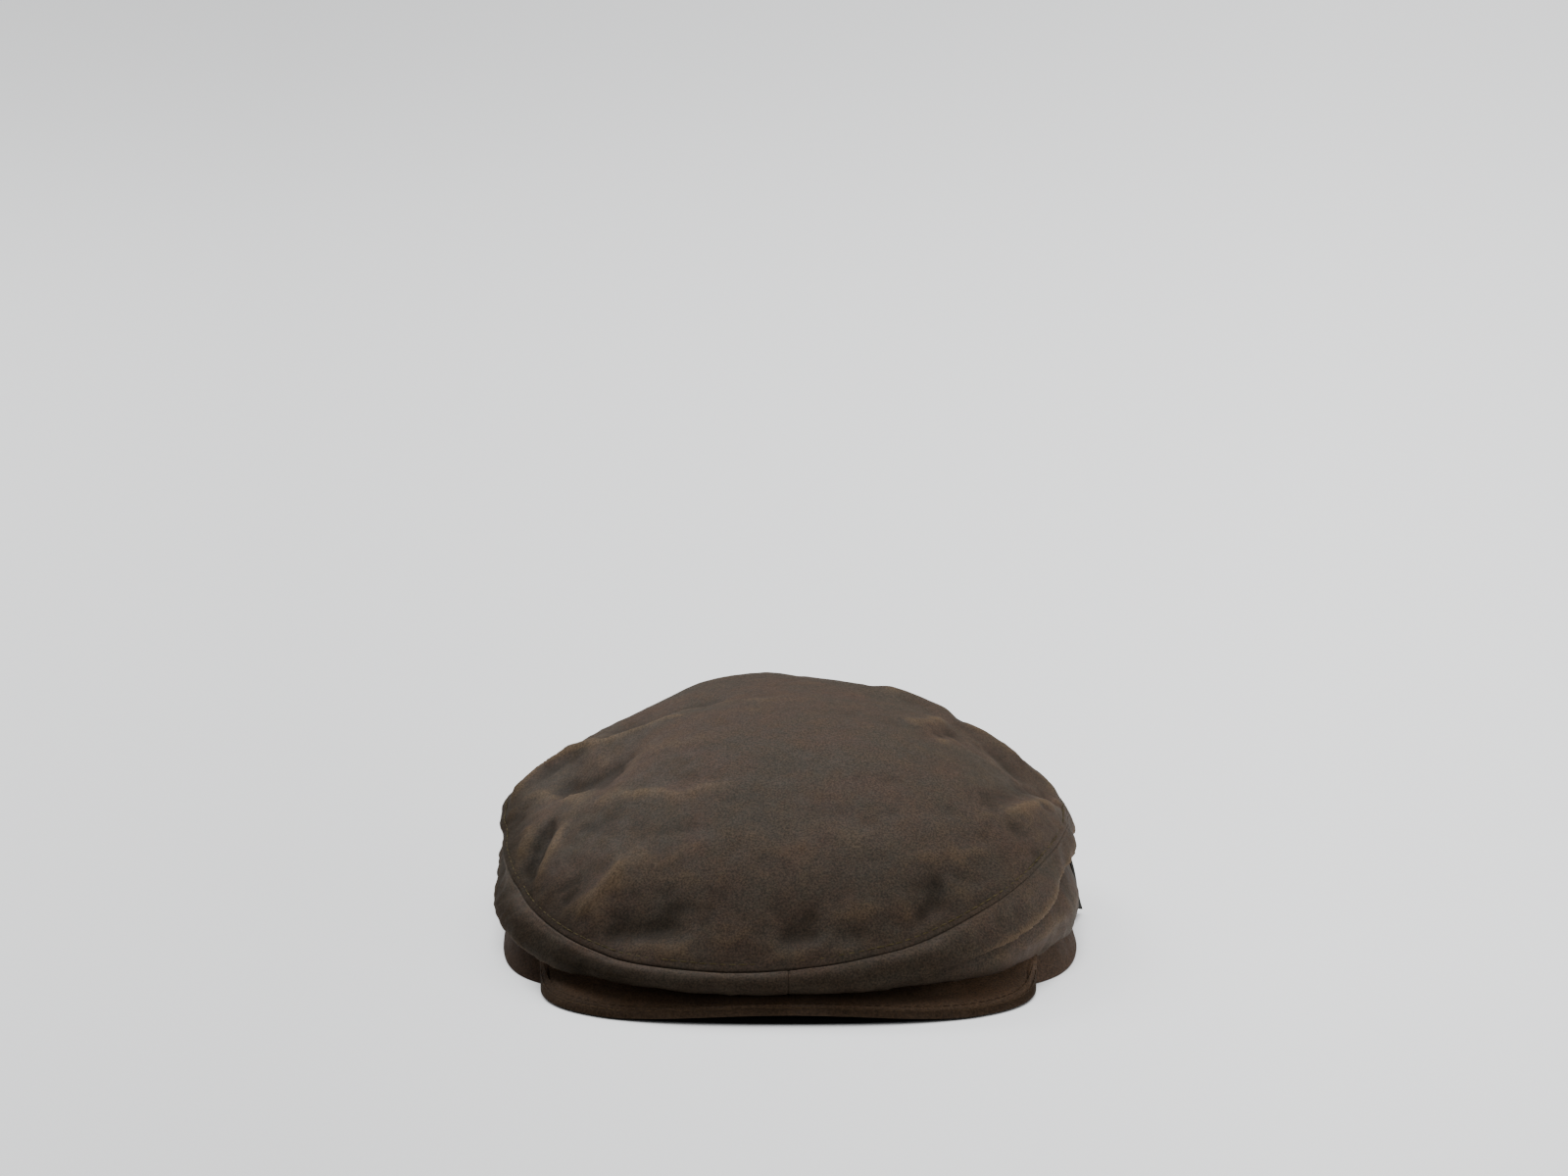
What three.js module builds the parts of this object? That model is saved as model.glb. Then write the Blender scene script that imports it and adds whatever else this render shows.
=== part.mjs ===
// Waxed flat cap, lying on a surface as it would by itself.
// Millimetres, +Z up, the peak towards -Y, the wearer's left side towards +X.
// Bearings are degrees round the middle of the crown, 0 at the front, 90 on the +X side.
import * as THREE from "three";

// Crown
const CROWN_HALF_WIDTH = 99.5; // middle of the crown to the top seam, sideways
const CROWN_FRONT_LENGTH = 137; // middle of the crown to the top seam, forwards
const CROWN_BACK_LENGTH = 90; // middle of the crown to the top seam, backwards
const CROWN_HEIGHT = 81.5; // floor to the summit
const CROWN_SWAY = 1.5; // how far the top seam lies off the opening's middle, to the wearer's right
const FRONT_SQUARENESS = 2.65; // exponent of the plan's front half, 2 is an ellipse
const BACK_SQUARENESS = 2.1;
const CLOTH = 1.6; // two layers of waxed cotton, sewn
const SEAM_GAP = 0.3; // clearance between neighbouring pieces
const ROLL = 4.5; // how far the side panels swell out past the top seam
const TUCK_RISE = 4; // how far the roll climbs again to where it meets the band
const OVERHANG = 5.2; // the least that the roll stands out past the band
const FOLD_HEIGHT = 3; // the tallest fold and the deepest dent
const FOLD_WIDTH = 10; // the broadest fold, from its crest to where it dies out

// Head opening and band
const OPENING_HALF_WIDTH = 97.5;
const OPENING_FRONT_LENGTH = 102;
const OPENING_BACK_LENGTH = 77;
const OPENING_FRONT_SQUARENESS = 5;
const OPENING_BACK_SQUARENESS = 2.2;
const BAND_WALL = 2.4; // folded cloth with its tape
const BAND_HEIGHT = 20;
const BAND_LEAN = 10; // how far the band leans in from its rim to its top
const BAND_FRONT_LIFT = 4; // how far the rim is lifted behind the peak

// Peak
const PEAK_HALF_WIDTH = 84;
const PEAK_DEPTH = 38.6; // band to the front edge, at the middle
const PEAK_CORNER_DEPTH = 3; // band to the line through the peak's corners
const PEAK_SQUARENESS = 2.6;
const PEAK_THICKNESS = 3.2; // board between two layers of cloth
const PEAK_FRONT_ARCH = 2.4; // lift of the front edge's middle off the floor
const PEAK_REAR_ARCH = 6.6; // lift of the rear edge's middle
const PEAK_FLOOR_GAP = 0.2; // height of the peak's lowest point
const PEAK_TOUCH = 60; // half the span of the front arch
const PEAK_ROUNDING = 1.1; // how far the edge is rounded off

// Floor to the lowest line of the side panels' roll, which lies on the peak.
const LIP_HEIGHT =
  PEAK_FLOOR_GAP + Math.max(PEAK_FRONT_ARCH, PEAK_REAR_ARCH) + PEAK_THICKNESS + SEAM_GAP;

// Side tab
const TAB_LENGTH = 20;
const TAB_WIDTH = 15;
const TAB_THICKNESS = 1;
const TAB_STAND = 0.7; // clearance to the side panel behind it
const TAB_FLARE = 3.4; // how far its lower rear corner stands off the panel
const TAB_BEARING = 84;
const TAB_SLANT = 0.12; // how much longer its rear edge is, and its front edge shorter
const TAB_FLOOR_GAP = 1.6;

// Fineness of the meshes
const SEGMENTS = 72; // round the crown
const TOP_RINGS = 14;
const PEAK_STATIONS = 36;
const TAB_STEPS = 4;

// Sections of the crown, one row to a bearing. seam is the height of the top seam as a share of
// CROWN_HEIGHT, lip the height of the roll's lowest line as a share of LIP_HEIGHT, roll the swell
// as a share of ROLL, and fullness the exponent of the top panel's fall from summit to seam.
const SECTIONS = [
  { bearing: -150, seam: 0.58, lip: 0.9, roll: 1.1, fullness: 2.15 },
  { bearing: -120, seam: 0.5, lip: 0.85, roll: 0.9, fullness: 2.05 },
  { bearing: -95, seam: 0.465, lip: 0.85, roll: 0.35, fullness: 1.98 },
  { bearing: -75, seam: 0.435, lip: 0.9, roll: 0.3, fullness: 1.95 },
  { bearing: -60, seam: 0.385, lip: 1.0, roll: 0.5, fullness: 2.1 },
  { bearing: -45, seam: 0.315, lip: 1.05, roll: 0.95, fullness: 2.35 },
  { bearing: -30, seam: 0.245, lip: 1.0, roll: 1.0, fullness: 2.55 },
  { bearing: -15, seam: 0.212, lip: 0.96, roll: 1.0, fullness: 2.7 },
  { bearing: 0, seam: 0.22, lip: 0.97, roll: 1.0, fullness: 2.7 },
  { bearing: 15, seam: 0.29, lip: 1.0, roll: 1.0, fullness: 2.65 },
  { bearing: 30, seam: 0.41, lip: 1.08, roll: 1.0, fullness: 2.5 },
  { bearing: 45, seam: 0.5, lip: 1.15, roll: 0.9, fullness: 2.3 },
  { bearing: 60, seam: 0.52, lip: 1.0, roll: 0.75, fullness: 2.2 },
  { bearing: 75, seam: 0.5, lip: 0.9, roll: 0.25, fullness: 2.2 },
  { bearing: 95, seam: 0.455, lip: 0.85, roll: 0.25, fullness: 2.3 },
  { bearing: 120, seam: 0.46, lip: 0.85, roll: 0.9, fullness: 2.3 },
  { bearing: 150, seam: 0.55, lip: 0.9, roll: 1.1, fullness: 2.15 },
  { bearing: 180, seam: 0.62, lip: 0.95, roll: 1.25, fullness: 2.1 },
];

// Folds and dents of the top panel, each a straight line in plan. side is a share of
// CROWN_HALF_WIDTH, fore a share of CROWN_FRONT_LENGTH where positive and of CROWN_BACK_LENGTH
// where negative, width a share of FOLD_WIDTH and height a share of FOLD_HEIGHT, negative for a dent.
const TOP_FOLDS = [
  { name: "summit ridge, left end", side: [-0.55, -0.2], fore: [-0.07, 0.09], width: 0.9, height: 0.3 },
  { name: "summit ridge, right end", side: [-0.2, 0.1], fore: [0.09, -0.06], width: 0.9, height: 0.2 },
  { name: "trough behind the ridge", side: [-0.5, -0.22], fore: [-0.17, -0.15], width: 1, height: -0.9 },
  { name: "rear crest, left", side: [-0.5, -0.1], fore: [-0.4, -0.42], width: 1, height: 0.6 },
  { name: "rear crest, right", side: [0.3, 0.55], fore: [-0.38, -0.3], width: 1, height: 0.4 },
  { name: "left shoulder, outer", side: [-0.92, -0.81], fore: [0.07, -0.09], width: 0.7, height: 0.8 },
  { name: "left shoulder, inner", side: [-0.81, -0.36], fore: [-0.09, 0.15], width: 0.8, height: 0.8 },
  { name: "hollow below the shoulder", side: [-0.76, -0.55], fore: [0.16, 0.3], width: 1, height: -0.9 },
  { name: "long left crease", side: [-0.93, -0.4], fore: [0.1, 0.53], width: 0.8, height: 0.5 },
  { name: "right ridge, front", side: [0.37, 0.56], fore: [0.28, 0.21], width: 0.6, height: 0.4 },
  { name: "right ridge, middle", side: [0.43, 0.67], fore: [0.14, -0.13], width: 0.7, height: 0.5 },
  { name: "right ridge, rear", side: [0.76, 0.88], fore: [0.17, 0], width: 0.6, height: 0.5 },
  { name: "right crease", side: [0.74, 0.95], fore: [0.52, 0.24], width: 0.6, height: 0.8 },
  { name: "hollow above the crease", side: [0.86, 0.93], fore: [0.22, 0.02], width: 0.7, height: -0.7 },
  { name: "left groove", side: [-0.86, -0.85], fore: [0.36, 0.56], width: 0.6, height: -1.1 },
  { name: "pucker at the left front", side: [-0.61, -0.68], fore: [0.7, 0.79], width: 0.5, height: 0.6 },
  { name: "front dent, left", side: [-0.56, -0.29], fore: [0.84, 0.8], width: 1, height: -1.2 },
  { name: "front dent, middle", side: [-0.02, 0.07], fore: [0.92, 0.8], width: 0.9, height: -0.8 },
  { name: "front dent, right", side: [0.4, 0.51], fore: [0.92, 0.81], width: 0.9, height: -0.9 },
];

// Creases of the side panels, each a line from one bearing and drop to another. drop is a share
// of the way from the top seam to the lip; width is a share of that way too.
const SIDE_FOLDS = [
  { name: "left crease, front", bearing: [-38, -54], drop: [0.92, 0.68], width: 0.13, height: -0.9 },
  { name: "left crease, rear", bearing: [-54, -86], drop: [0.68, 0.62], width: 0.14, height: -1 },
  { name: "right crease, front", bearing: [34, 50], drop: [0.72, 0.48], width: 0.12, height: -0.6 },
  { name: "right crease, rear", bearing: [50, 88], drop: [0.48, 0.5], width: 0.13, height: -0.9 },
  { name: "right ridge, front", bearing: [40, 62], drop: [0.5, 0.24], width: 0.1, height: 0.4 },
  { name: "right ridge, rear", bearing: [62, 92], drop: [0.24, 0.2], width: 0.14, height: 1 },
  { name: "back dent, left", bearing: [-140, -160], drop: [0.35, 0.5], width: 0.2, height: -0.8 },
  { name: "back dent, right", bearing: [150, 125], drop: [0.3, 0.55], width: 0.2, height: -0.8 },
];

const WAXED_COTTON = { color: 0x3d352b, roughness: 0.62, metalness: 0 };
const BAND_COTTON = { color: 0x352d24, roughness: 0.66, metalness: 0 };
const RIBBON = { color: 0x1a1b16, roughness: 0.75, metalness: 0 };

const radians = THREE.MathUtils.degToRad;

// A column of the section table as a smooth curve that closes on itself.
function sectionColumn(column) {
  const rows = SECTIONS.length;
  const at = (row) => SECTIONS[(row + rows) % rows];
  const turn = (row) => at(row).bearing + 360 * Math.floor(row / rows);
  return (bearing) => {
    let row = rows - 1;
    while (row >= 0 && turn(row) > bearing) row -= 1;
    const [b0, b1, b2, b3] = [-1, 0, 1, 2].map((step) => turn(row + step));
    const [v0, v1, v2, v3] = [-1, 0, 1, 2].map((step) => at(row + step)[column]);
    const span = b2 - b1;
    const t = (bearing - b1) / span;
    const slope1 = (span * (v2 - v0)) / (b2 - b0);
    const slope2 = (span * (v3 - v1)) / (b3 - b1);
    const t2 = t * t;
    const t3 = t2 * t;
    const start = (2 * t3 - 3 * t2 + 1) * v1 + (t3 - 2 * t2 + t) * slope1;
    return start + (3 * t2 - 2 * t3) * v2 + (t3 - t2) * slope2;
  };
}
const seamShare = sectionColumn("seam");
const lipShare = sectionColumn("lip");
const rollShare = sectionColumn("roll");
const fullness = sectionColumn("fullness");

// Radius of a rounded plan outline whose front and back halves differ in length and squareness.
function planRadius(bearing, halfWidth, front, back, frontSquareness, backSquareness) {
  const across = Math.abs(Math.sin(radians(bearing))) / halfWidth;
  const along = Math.cos(radians(bearing));
  const frontness = 0.5 + 0.5 * Math.tanh(3 * along);
  const n = backSquareness + (frontSquareness - backSquareness) * frontness;
  const lengthwise = Math.abs(along) / (along > 0 ? front : back);
  return (across ** n + lengthwise ** n) ** (-1 / n);
}

const seamRadius = (bearing) =>
  planRadius(
    bearing,
    CROWN_HALF_WIDTH,
    CROWN_FRONT_LENGTH,
    CROWN_BACK_LENGTH,
    FRONT_SQUARENESS,
    BACK_SQUARENESS,
  ) -
  CROWN_SWAY * Math.sin(radians(bearing));
const openingRadius = (bearing) =>
  planRadius(
    bearing,
    OPENING_HALF_WIDTH,
    OPENING_FRONT_LENGTH,
    OPENING_BACK_LENGTH,
    OPENING_FRONT_SQUARENESS,
    OPENING_BACK_SQUARENESS,
  );
const seamHeight = (bearing) => CROWN_HEIGHT * seamShare(bearing);
const lipHeight = (bearing) => LIP_HEIGHT * lipShare(bearing);

function polar(bearing, radius, height) {
  const angle = radians(bearing);
  return new THREE.Vector3(radius * Math.sin(angle), -radius * Math.cos(angle), height);
}

// Height of a fold of this length and width, off its line by so much.
function foldHeight(offset, width, height) {
  return height * FOLD_HEIGHT * Math.exp(-((offset / width) ** 2));
}

// Nearest distance from a point to a straight line in plan.
function distanceToLine(x, y, ends) {
  const [x0, y0, x1, y1] = ends;
  const [dx, dy] = [x1 - x0, y1 - y0];
  const along = ((x - x0) * dx + (y - y0) * dy) / (dx * dx + dy * dy);
  const t = THREE.MathUtils.clamp(along, 0, 1);
  return Math.hypot(x - x0 - t * dx, y - y0 - t * dy);
}

const foreLength = (share) => (share > 0 ? share * CROWN_FRONT_LENGTH : share * CROWN_BACK_LENGTH);

function topFoldHeight(x, y, reach) {
  const fade = 1 - THREE.MathUtils.smoothstep(reach, 0.93, 1);
  let total = 0;
  for (const fold of TOP_FOLDS) {
    const ends = [
      fold.side[0] * CROWN_HALF_WIDTH,
      -foreLength(fold.fore[0]),
      fold.side[1] * CROWN_HALF_WIDTH,
      -foreLength(fold.fore[1]),
    ];
    total += foldHeight(distanceToLine(x, y, ends), fold.width * FOLD_WIDTH, fold.height);
  }
  return total * fade;
}

// A point of the top panel's outer face. reach is 0 at the summit and 1 at the seam.
function topPoint(bearing, reach) {
  const seam = seamHeight(bearing);
  const fall = 1 - reach ** fullness(bearing);
  const point = polar(bearing, reach * seamRadius(bearing), seam + (CROWN_HEIGHT - seam) * fall);
  point.z += topFoldHeight(point.x, point.y, reach);
  return point;
}

const bandOuterRadius = (bearing, height) =>
  openingRadius(bearing) + BAND_WALL - (BAND_LEAN * height) / BAND_HEIGHT;

// A side panel's section: seam, belly, lip, underside and tuck, as radius and height.
function sideSection(bearing) {
  const top = { radius: seamRadius(bearing), height: seamHeight(bearing) };
  const lip = lipHeight(bearing);
  const swell = ROLL * rollShare(bearing);
  const tuckHeight = lip + TUCK_RISE * (1 - 0.5 * Math.max(0, Math.cos(radians(bearing))));
  const tuckRadius = bandOuterRadius(bearing, tuckHeight) + SEAM_GAP;
  const lipRadius = Math.max(top.radius + 0.3 * swell, tuckRadius + OVERHANG);
  const bellyRadius = Math.max(top.radius + swell, lipRadius + 0.3 * swell);
  return [
    top,
    { radius: top.radius + 0.85 * swell, height: lip + 0.74 * (top.height - lip) },
    { radius: bellyRadius, height: lip + 0.38 * (top.height - lip) },
    { radius: lipRadius, height: lip },
    { radius: 0.45 * lipRadius + 0.55 * tuckRadius, height: lip + 0.08 * (tuckHeight - lip) },
    { radius: tuckRadius, height: tuckHeight },
  ].map((knot) => new THREE.Vector3(knot.radius, knot.height, 0));
}
const LIP_KNOT = 3; // which knot of the section is the lip
const LAST_KNOT = 5;

function sideFoldHeight(bearing, knot) {
  const drop = knot / LIP_KNOT;
  let total = 0;
  for (const fold of SIDE_FOLDS) {
    const spread = fold.bearing[1] - fold.bearing[0];
    const along = THREE.MathUtils.clamp((bearing - fold.bearing[0]) / spread, 0, 1);
    const line = THREE.MathUtils.lerp(fold.drop[0], fold.drop[1], along);
    const past = (bearing - fold.bearing[0] - along * spread) / 8;
    total += foldHeight(Math.hypot((drop - line) / fold.width, past), 1, fold.height);
  }
  return total * THREE.MathUtils.smoothstep(drop, 0, 0.15);
}

// A point of a side panel's outer face. knot runs from 0 at the seam to LAST_KNOT at the tuck.
function sidePoint(bearing, knot) {
  const curve = new THREE.CatmullRomCurve3(sideSection(bearing), false, "centripetal");
  const spot = curve.getPoint(knot / LAST_KNOT);
  const swell = sideFoldHeight(bearing, knot);
  return polar(bearing, spot.x + swell, spot.y);
}

// Normal of a face given as a function of bearing and a second measure, pointing out of the cap.
function outwardNormal(face, bearing, measure, least, most) {
  const low = Math.max(measure - 0.01, least);
  const high = Math.min(measure + 0.01, most);
  const along = face(bearing + 0.5, measure).sub(face(bearing - 0.5, measure));
  const down = face(bearing, high).sub(face(bearing, low));
  return down.cross(along).normalize();
}

// One closed body from loops of points, each loop the section at one station. A loop lists the
// outer face's points and then the inner face's, back again. A ring's last station meets its
// first; otherwise both ends are closed by strips between the two faces.
function bodyFromLoops(loops, ring) {
  const places = [];
  const known = new Map();
  const indexOf = (point) => {
    const key = [point.x, point.y, point.z].map((value) => value.toFixed(5)).join(" ");
    if (!known.has(key)) {
      known.set(key, places.length / 3);
      places.push(point.x, point.y, point.z);
    }
    return known.get(key);
  };
  const ids = loops.map((loop) => loop.map(indexOf));
  const faces = [];
  const triangle = (a, b, c) => {
    if (a !== b && b !== c && c !== a) faces.push(a, b, c);
  };
  const quad = (a, b, c, d) => {
    triangle(a, b, c);
    triangle(a, c, d);
  };
  const size = ids[0].length;
  const stations = ids.length;
  for (let i = 0; i < (ring ? stations : stations - 1); i += 1) {
    const here = ids[i];
    const next = ids[(i + 1) % stations];
    for (let j = 0; j < size; j += 1) {
      const k = (j + 1) % size;
      quad(here[j], here[k], next[k], next[j]);
    }
  }
  if (!ring) {
    const [first, last] = [ids[0], ids[stations - 1]];
    for (let j = 0; j < size / 2 - 1; j += 1) {
      const mate = size - 1 - j;
      quad(first[j], first[mate], first[mate - 1], first[j + 1]);
      quad(last[j + 1], last[mate - 1], last[mate], last[j]);
    }
  }
  const geometry = new THREE.BufferGeometry();
  geometry.setAttribute("position", new THREE.Float32BufferAttribute(places, 3));
  geometry.setIndex(faces);
  geometry.computeVertexNormals();
  return geometry;
}

// The line where the top panel meets a side panel: the outer edge, the inner edge a wall's
// thickness in along the bisector, and the direction that leads back into the top panel.
function seamEdge(bearing) {
  const outer = topPoint(bearing, 1);
  const topNormal = outwardNormal(topPoint, bearing, 1, 0, 1);
  const sideNormal = outwardNormal(sidePoint, bearing, 0, 0, LAST_KNOT);
  const bisector = topNormal.clone().add(sideNormal).normalize();
  const wall = CLOTH / Math.max(0.7, bisector.dot(topNormal));
  const along = topPoint(bearing + 0.5, 1).sub(topPoint(bearing - 0.5, 1)).normalize();
  const inward = along.cross(bisector).normalize();
  if (inward.z < 0) inward.negate();
  return { outer, inner: outer.clone().addScaledVector(bisector, -wall), inward };
}

function inset(point, direction, distance) {
  return point.clone().addScaledVector(direction, distance);
}

function topPanel() {
  const loops = [];
  for (let i = 0; i < SEGMENTS; i += 1) {
    const bearing = (360 * i) / SEGMENTS - 180;
    const outer = [];
    const inner = [];
    for (let ring = 0; ring < TOP_RINGS; ring += 1) {
      const reach = ring / TOP_RINGS;
      const point = topPoint(bearing, reach);
      outer.push(point);
      const normal =
        ring === 0 ? new THREE.Vector3(0, 0, 1) : outwardNormal(topPoint, bearing, reach, 0, 1);
      inner.push(inset(point, normal, -CLOTH));
    }
    const edge = seamEdge(bearing);
    outer.push(inset(edge.outer, edge.inward, SEAM_GAP / 2));
    inner.push(inset(edge.inner, edge.inward, SEAM_GAP / 2));
    loops.push([...outer, ...inner.reverse()]);
  }
  return bodyFromLoops(loops, true);
}

// Where the rows of a side panel lie, closer together round the lip.
const SIDE_KNOTS = [0, 0.5, 1, 1.5, 2, 2.5, 2.8, 3.1, 3.5, 4.2, LAST_KNOT];

function sidePanel(side) {
  const loops = [];
  const steps = SEGMENTS / 2;
  for (let i = 0; i <= steps; i += 1) {
    const bearing = (side * 180 * i) / steps;
    const atEnd = i === 0 || i === steps;
    const edge = seamEdge(bearing);
    const outer = [inset(edge.outer, edge.inward, -SEAM_GAP / 2)];
    const inner = [inset(edge.inner, edge.inward, -SEAM_GAP / 2)];
    for (const knot of SIDE_KNOTS.slice(1)) {
      const point = sidePoint(bearing, knot);
      const normal = outwardNormal(sidePoint, bearing, knot, 0, LAST_KNOT);
      outer.push(point);
      inner.push(inset(point, normal, -CLOTH));
    }
    const loop = [...outer, ...inner.reverse()];
    for (const point of loop) {
      if (atEnd) point.x = 0;
      point.x += (side * SEAM_GAP) / 2;
    }
    loops.push(side > 0 ? loop : loop.reverse());
  }
  return bodyFromLoops(loops, false);
}

function headband() {
  const loops = [];
  for (let i = 0; i < SEGMENTS; i += 1) {
    const bearing = (360 * i) / SEGMENTS - 180;
    const behindPeak = THREE.MathUtils.smoothstep(Math.cos(radians(bearing)), 0.72, 1);
    const rim = BAND_FRONT_LIFT * behindPeak;
    const heights = [BAND_HEIGHT, (BAND_HEIGHT + rim) / 2, rim];
    const outer = heights.map((z) => polar(bearing, bandOuterRadius(bearing, z), z));
    const inner = heights.map((z) => polar(bearing, bandOuterRadius(bearing, z) - BAND_WALL, z));
    loops.push([...outer, ...inner.reverse()]);
  }
  return bodyFromLoops(loops, true);
}

// The bearing at which the band's outer rim is this far to the side.
function bandBearing(x) {
  let low = 0;
  let high = 90;
  for (let step = 0; step < 30; step += 1) {
    const middle = (low + high) / 2;
    if (bandOuterRadius(middle, 0) * Math.sin(radians(middle)) < x) low = middle;
    else high = middle;
  }
  return low;
}

// Underside of the peak at a point in plan. depth is 0 at the front edge and 1 at the band.
function peakUnderside(x, depth) {
  const arch = (height, span) => height * Math.cos((Math.PI / 2) * Math.min(1, Math.abs(x) / span)) ** 1.3;
  const front = arch(PEAK_FRONT_ARCH, PEAK_TOUCH);
  const rear = arch(PEAK_REAR_ARCH, PEAK_HALF_WIDTH);
  return PEAK_FLOOR_GAP + THREE.MathUtils.lerp(front, rear, depth);
}

function peak() {
  const cornerBearing = bandBearing(PEAK_HALF_WIDTH);
  const corner = polar(cornerBearing, bandOuterRadius(cornerBearing, 0), 0);
  const cornerLine = corner.y - PEAK_CORNER_DEPTH;
  const reach = bandOuterRadius(0, 0) + PEAK_DEPTH + cornerLine;
  const power = 2 / PEAK_SQUARENESS;
  const depths = [0.12, 0.4, 0.7, 1];
  const loops = [];
  for (let i = 0; i <= PEAK_STATIONS; i += 1) {
    const turn = (2 * i) / PEAK_STATIONS - 1;
    const angle = (Math.PI / 2) * turn;
    const x = PEAK_HALF_WIDTH * Math.sign(turn) * Math.abs(Math.sin(angle)) ** power;
    const y = cornerLine - reach * Math.max(0, Math.cos(angle)) ** power;
    const front = new THREE.Vector3(x, y, 0);
    const rearAngle = cornerBearing * turn;
    const rear = polar(rearAngle, bandOuterRadius(rearAngle, 0) + SEAM_GAP, 0);
    const back = rear.clone().sub(front).normalize();
    const rounding = Math.min(PEAK_ROUNDING, 0.1 * front.distanceTo(rear));
    const place = (distance, depth, lift) => {
      const point = front.clone().lerp(rear, depth);
      point.addScaledVector(back, distance);
      point.z = peakUnderside(point.x, depth) + lift;
      return point;
    };
    const upper = [place(0, 0, 0.6 * PEAK_THICKNESS), place(rounding, 0, PEAK_THICKNESS)];
    const lower = [place(0, 0, 0.4 * PEAK_THICKNESS), place(rounding, 0, 0)];
    for (const depth of depths) {
      upper.push(place(0, depth, PEAK_THICKNESS));
      lower.push(place(0, depth, 0));
    }
    loops.push([...lower, ...upper.reverse()]);
  }
  return bodyFromLoops(loops, false);
}

// The knot at which a side panel's outer face has come down to this height.
function knotAtHeight(bearing, height) {
  let low = 0;
  let high = LIP_KNOT;
  for (let step = 0; step < 30; step += 1) {
    const middle = (low + high) / 2;
    if (sidePoint(bearing, middle).z > height) low = middle;
    else high = middle;
  }
  return low;
}

function sideTab() {
  const radius = seamRadius(TAB_BEARING);
  const halfSpread = THREE.MathUtils.radToDeg(TAB_WIDTH / 2 / radius);
  const topHeight = TAB_FLOOR_GAP + TAB_LENGTH * (1 + TAB_SLANT);
  const loops = [];
  for (let i = 0; i <= TAB_STEPS; i += 1) {
    const across = (2 * i) / TAB_STEPS - 1;
    const bearing = TAB_BEARING + halfSpread * across;
    const near = [];
    const far = [];
    for (let j = 0; j <= TAB_STEPS; j += 1) {
      const down = j / TAB_STEPS;
      const height = topHeight - TAB_LENGTH * down * (1 + TAB_SLANT * across);
      const knot = knotAtHeight(TAB_BEARING, Math.max(height, lipHeight(TAB_BEARING) + 4));
      const surface = sidePoint(bearing, knot);
      const out = new THREE.Vector3(Math.sin(radians(bearing)), -Math.cos(radians(bearing)), 0);
      const stand = TAB_STAND + TAB_FLARE * down * down * (0.5 + 0.5 * across);
      surface.z = height;
      near.push(inset(surface, out, stand));
      far.push(inset(surface, out, stand + TAB_THICKNESS));
    }
    loops.push([...far, ...near.reverse()]);
  }
  return bodyFromLoops(loops, false);
}

function piece(name, geometry, finish) {
  const mesh = new THREE.Mesh(geometry, new THREE.MeshStandardMaterial({ ...finish, name }));
  mesh.name = name;
  return mesh;
}

const cap = new THREE.Group();
cap.add(
  piece("top_panel", topPanel(), WAXED_COTTON),
  piece("side_panel_left", sidePanel(-1), WAXED_COTTON),
  piece("side_panel_right", sidePanel(1), WAXED_COTTON),
  piece("headband", headband(), BAND_COTTON),
  piece("peak", peak(), WAXED_COTTON),
  piece("side_tab", sideTab(), RIBBON),
);

// The origin is on the floor, under the middle of the whole cap.
const bounds = new THREE.Box3().setFromObject(cap);
const middle = bounds.getCenter(new THREE.Vector3());
for (const mesh of cap.children) mesh.position.set(-middle.x, -middle.y, -bounds.min.z);

export default cap;
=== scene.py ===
"""Waxed flat cap: a sloping top panel, two side panels rolled over a stitched peak, a band, a tab.

Shapes are worked out in millimetres round the middle of the crown, on the floor: +Z is up, the
peak points to -Y, and bearings are degrees from the front (0) towards +X (90). Points become metres
in the part's frame when a mesh is made.
"""

import math

import bpy
import numpy as np
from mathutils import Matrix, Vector


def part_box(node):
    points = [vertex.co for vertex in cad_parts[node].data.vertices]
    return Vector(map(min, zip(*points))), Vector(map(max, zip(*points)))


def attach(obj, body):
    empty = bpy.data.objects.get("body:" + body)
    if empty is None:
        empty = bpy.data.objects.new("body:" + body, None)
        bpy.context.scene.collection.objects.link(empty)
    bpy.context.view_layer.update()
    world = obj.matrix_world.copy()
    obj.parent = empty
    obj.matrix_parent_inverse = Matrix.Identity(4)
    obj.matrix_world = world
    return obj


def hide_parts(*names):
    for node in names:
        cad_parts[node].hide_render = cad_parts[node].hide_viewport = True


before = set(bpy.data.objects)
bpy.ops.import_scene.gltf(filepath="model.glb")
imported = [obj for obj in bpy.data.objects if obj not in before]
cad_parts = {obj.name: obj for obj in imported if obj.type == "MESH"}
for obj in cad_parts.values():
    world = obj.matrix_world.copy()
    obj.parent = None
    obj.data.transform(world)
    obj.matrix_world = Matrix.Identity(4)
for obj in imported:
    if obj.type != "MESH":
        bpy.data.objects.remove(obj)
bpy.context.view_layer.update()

MM = 0.001
CLOTH = 1.6  # two layers of waxed cotton, sewn
SEAM_GAP = 0.1  # dark line between neighbouring panels

# Crown
CROWN_HALF_WIDTH = 99.5
CROWN_FRONT = 137
CROWN_BACK = 90
CROWN_HEIGHT = 81.5
CROWN_SWAY = 1.5  # how far the top seam lies off the opening's middle, to the wearer's right
FRONT_SQUARENESS = 2.65
BACK_SQUARENESS = 2.1
LIP_HEIGHT = 10.3
ROLL = 4.5
TUCK_RISE = 4
OVERHANG = 5.2

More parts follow.
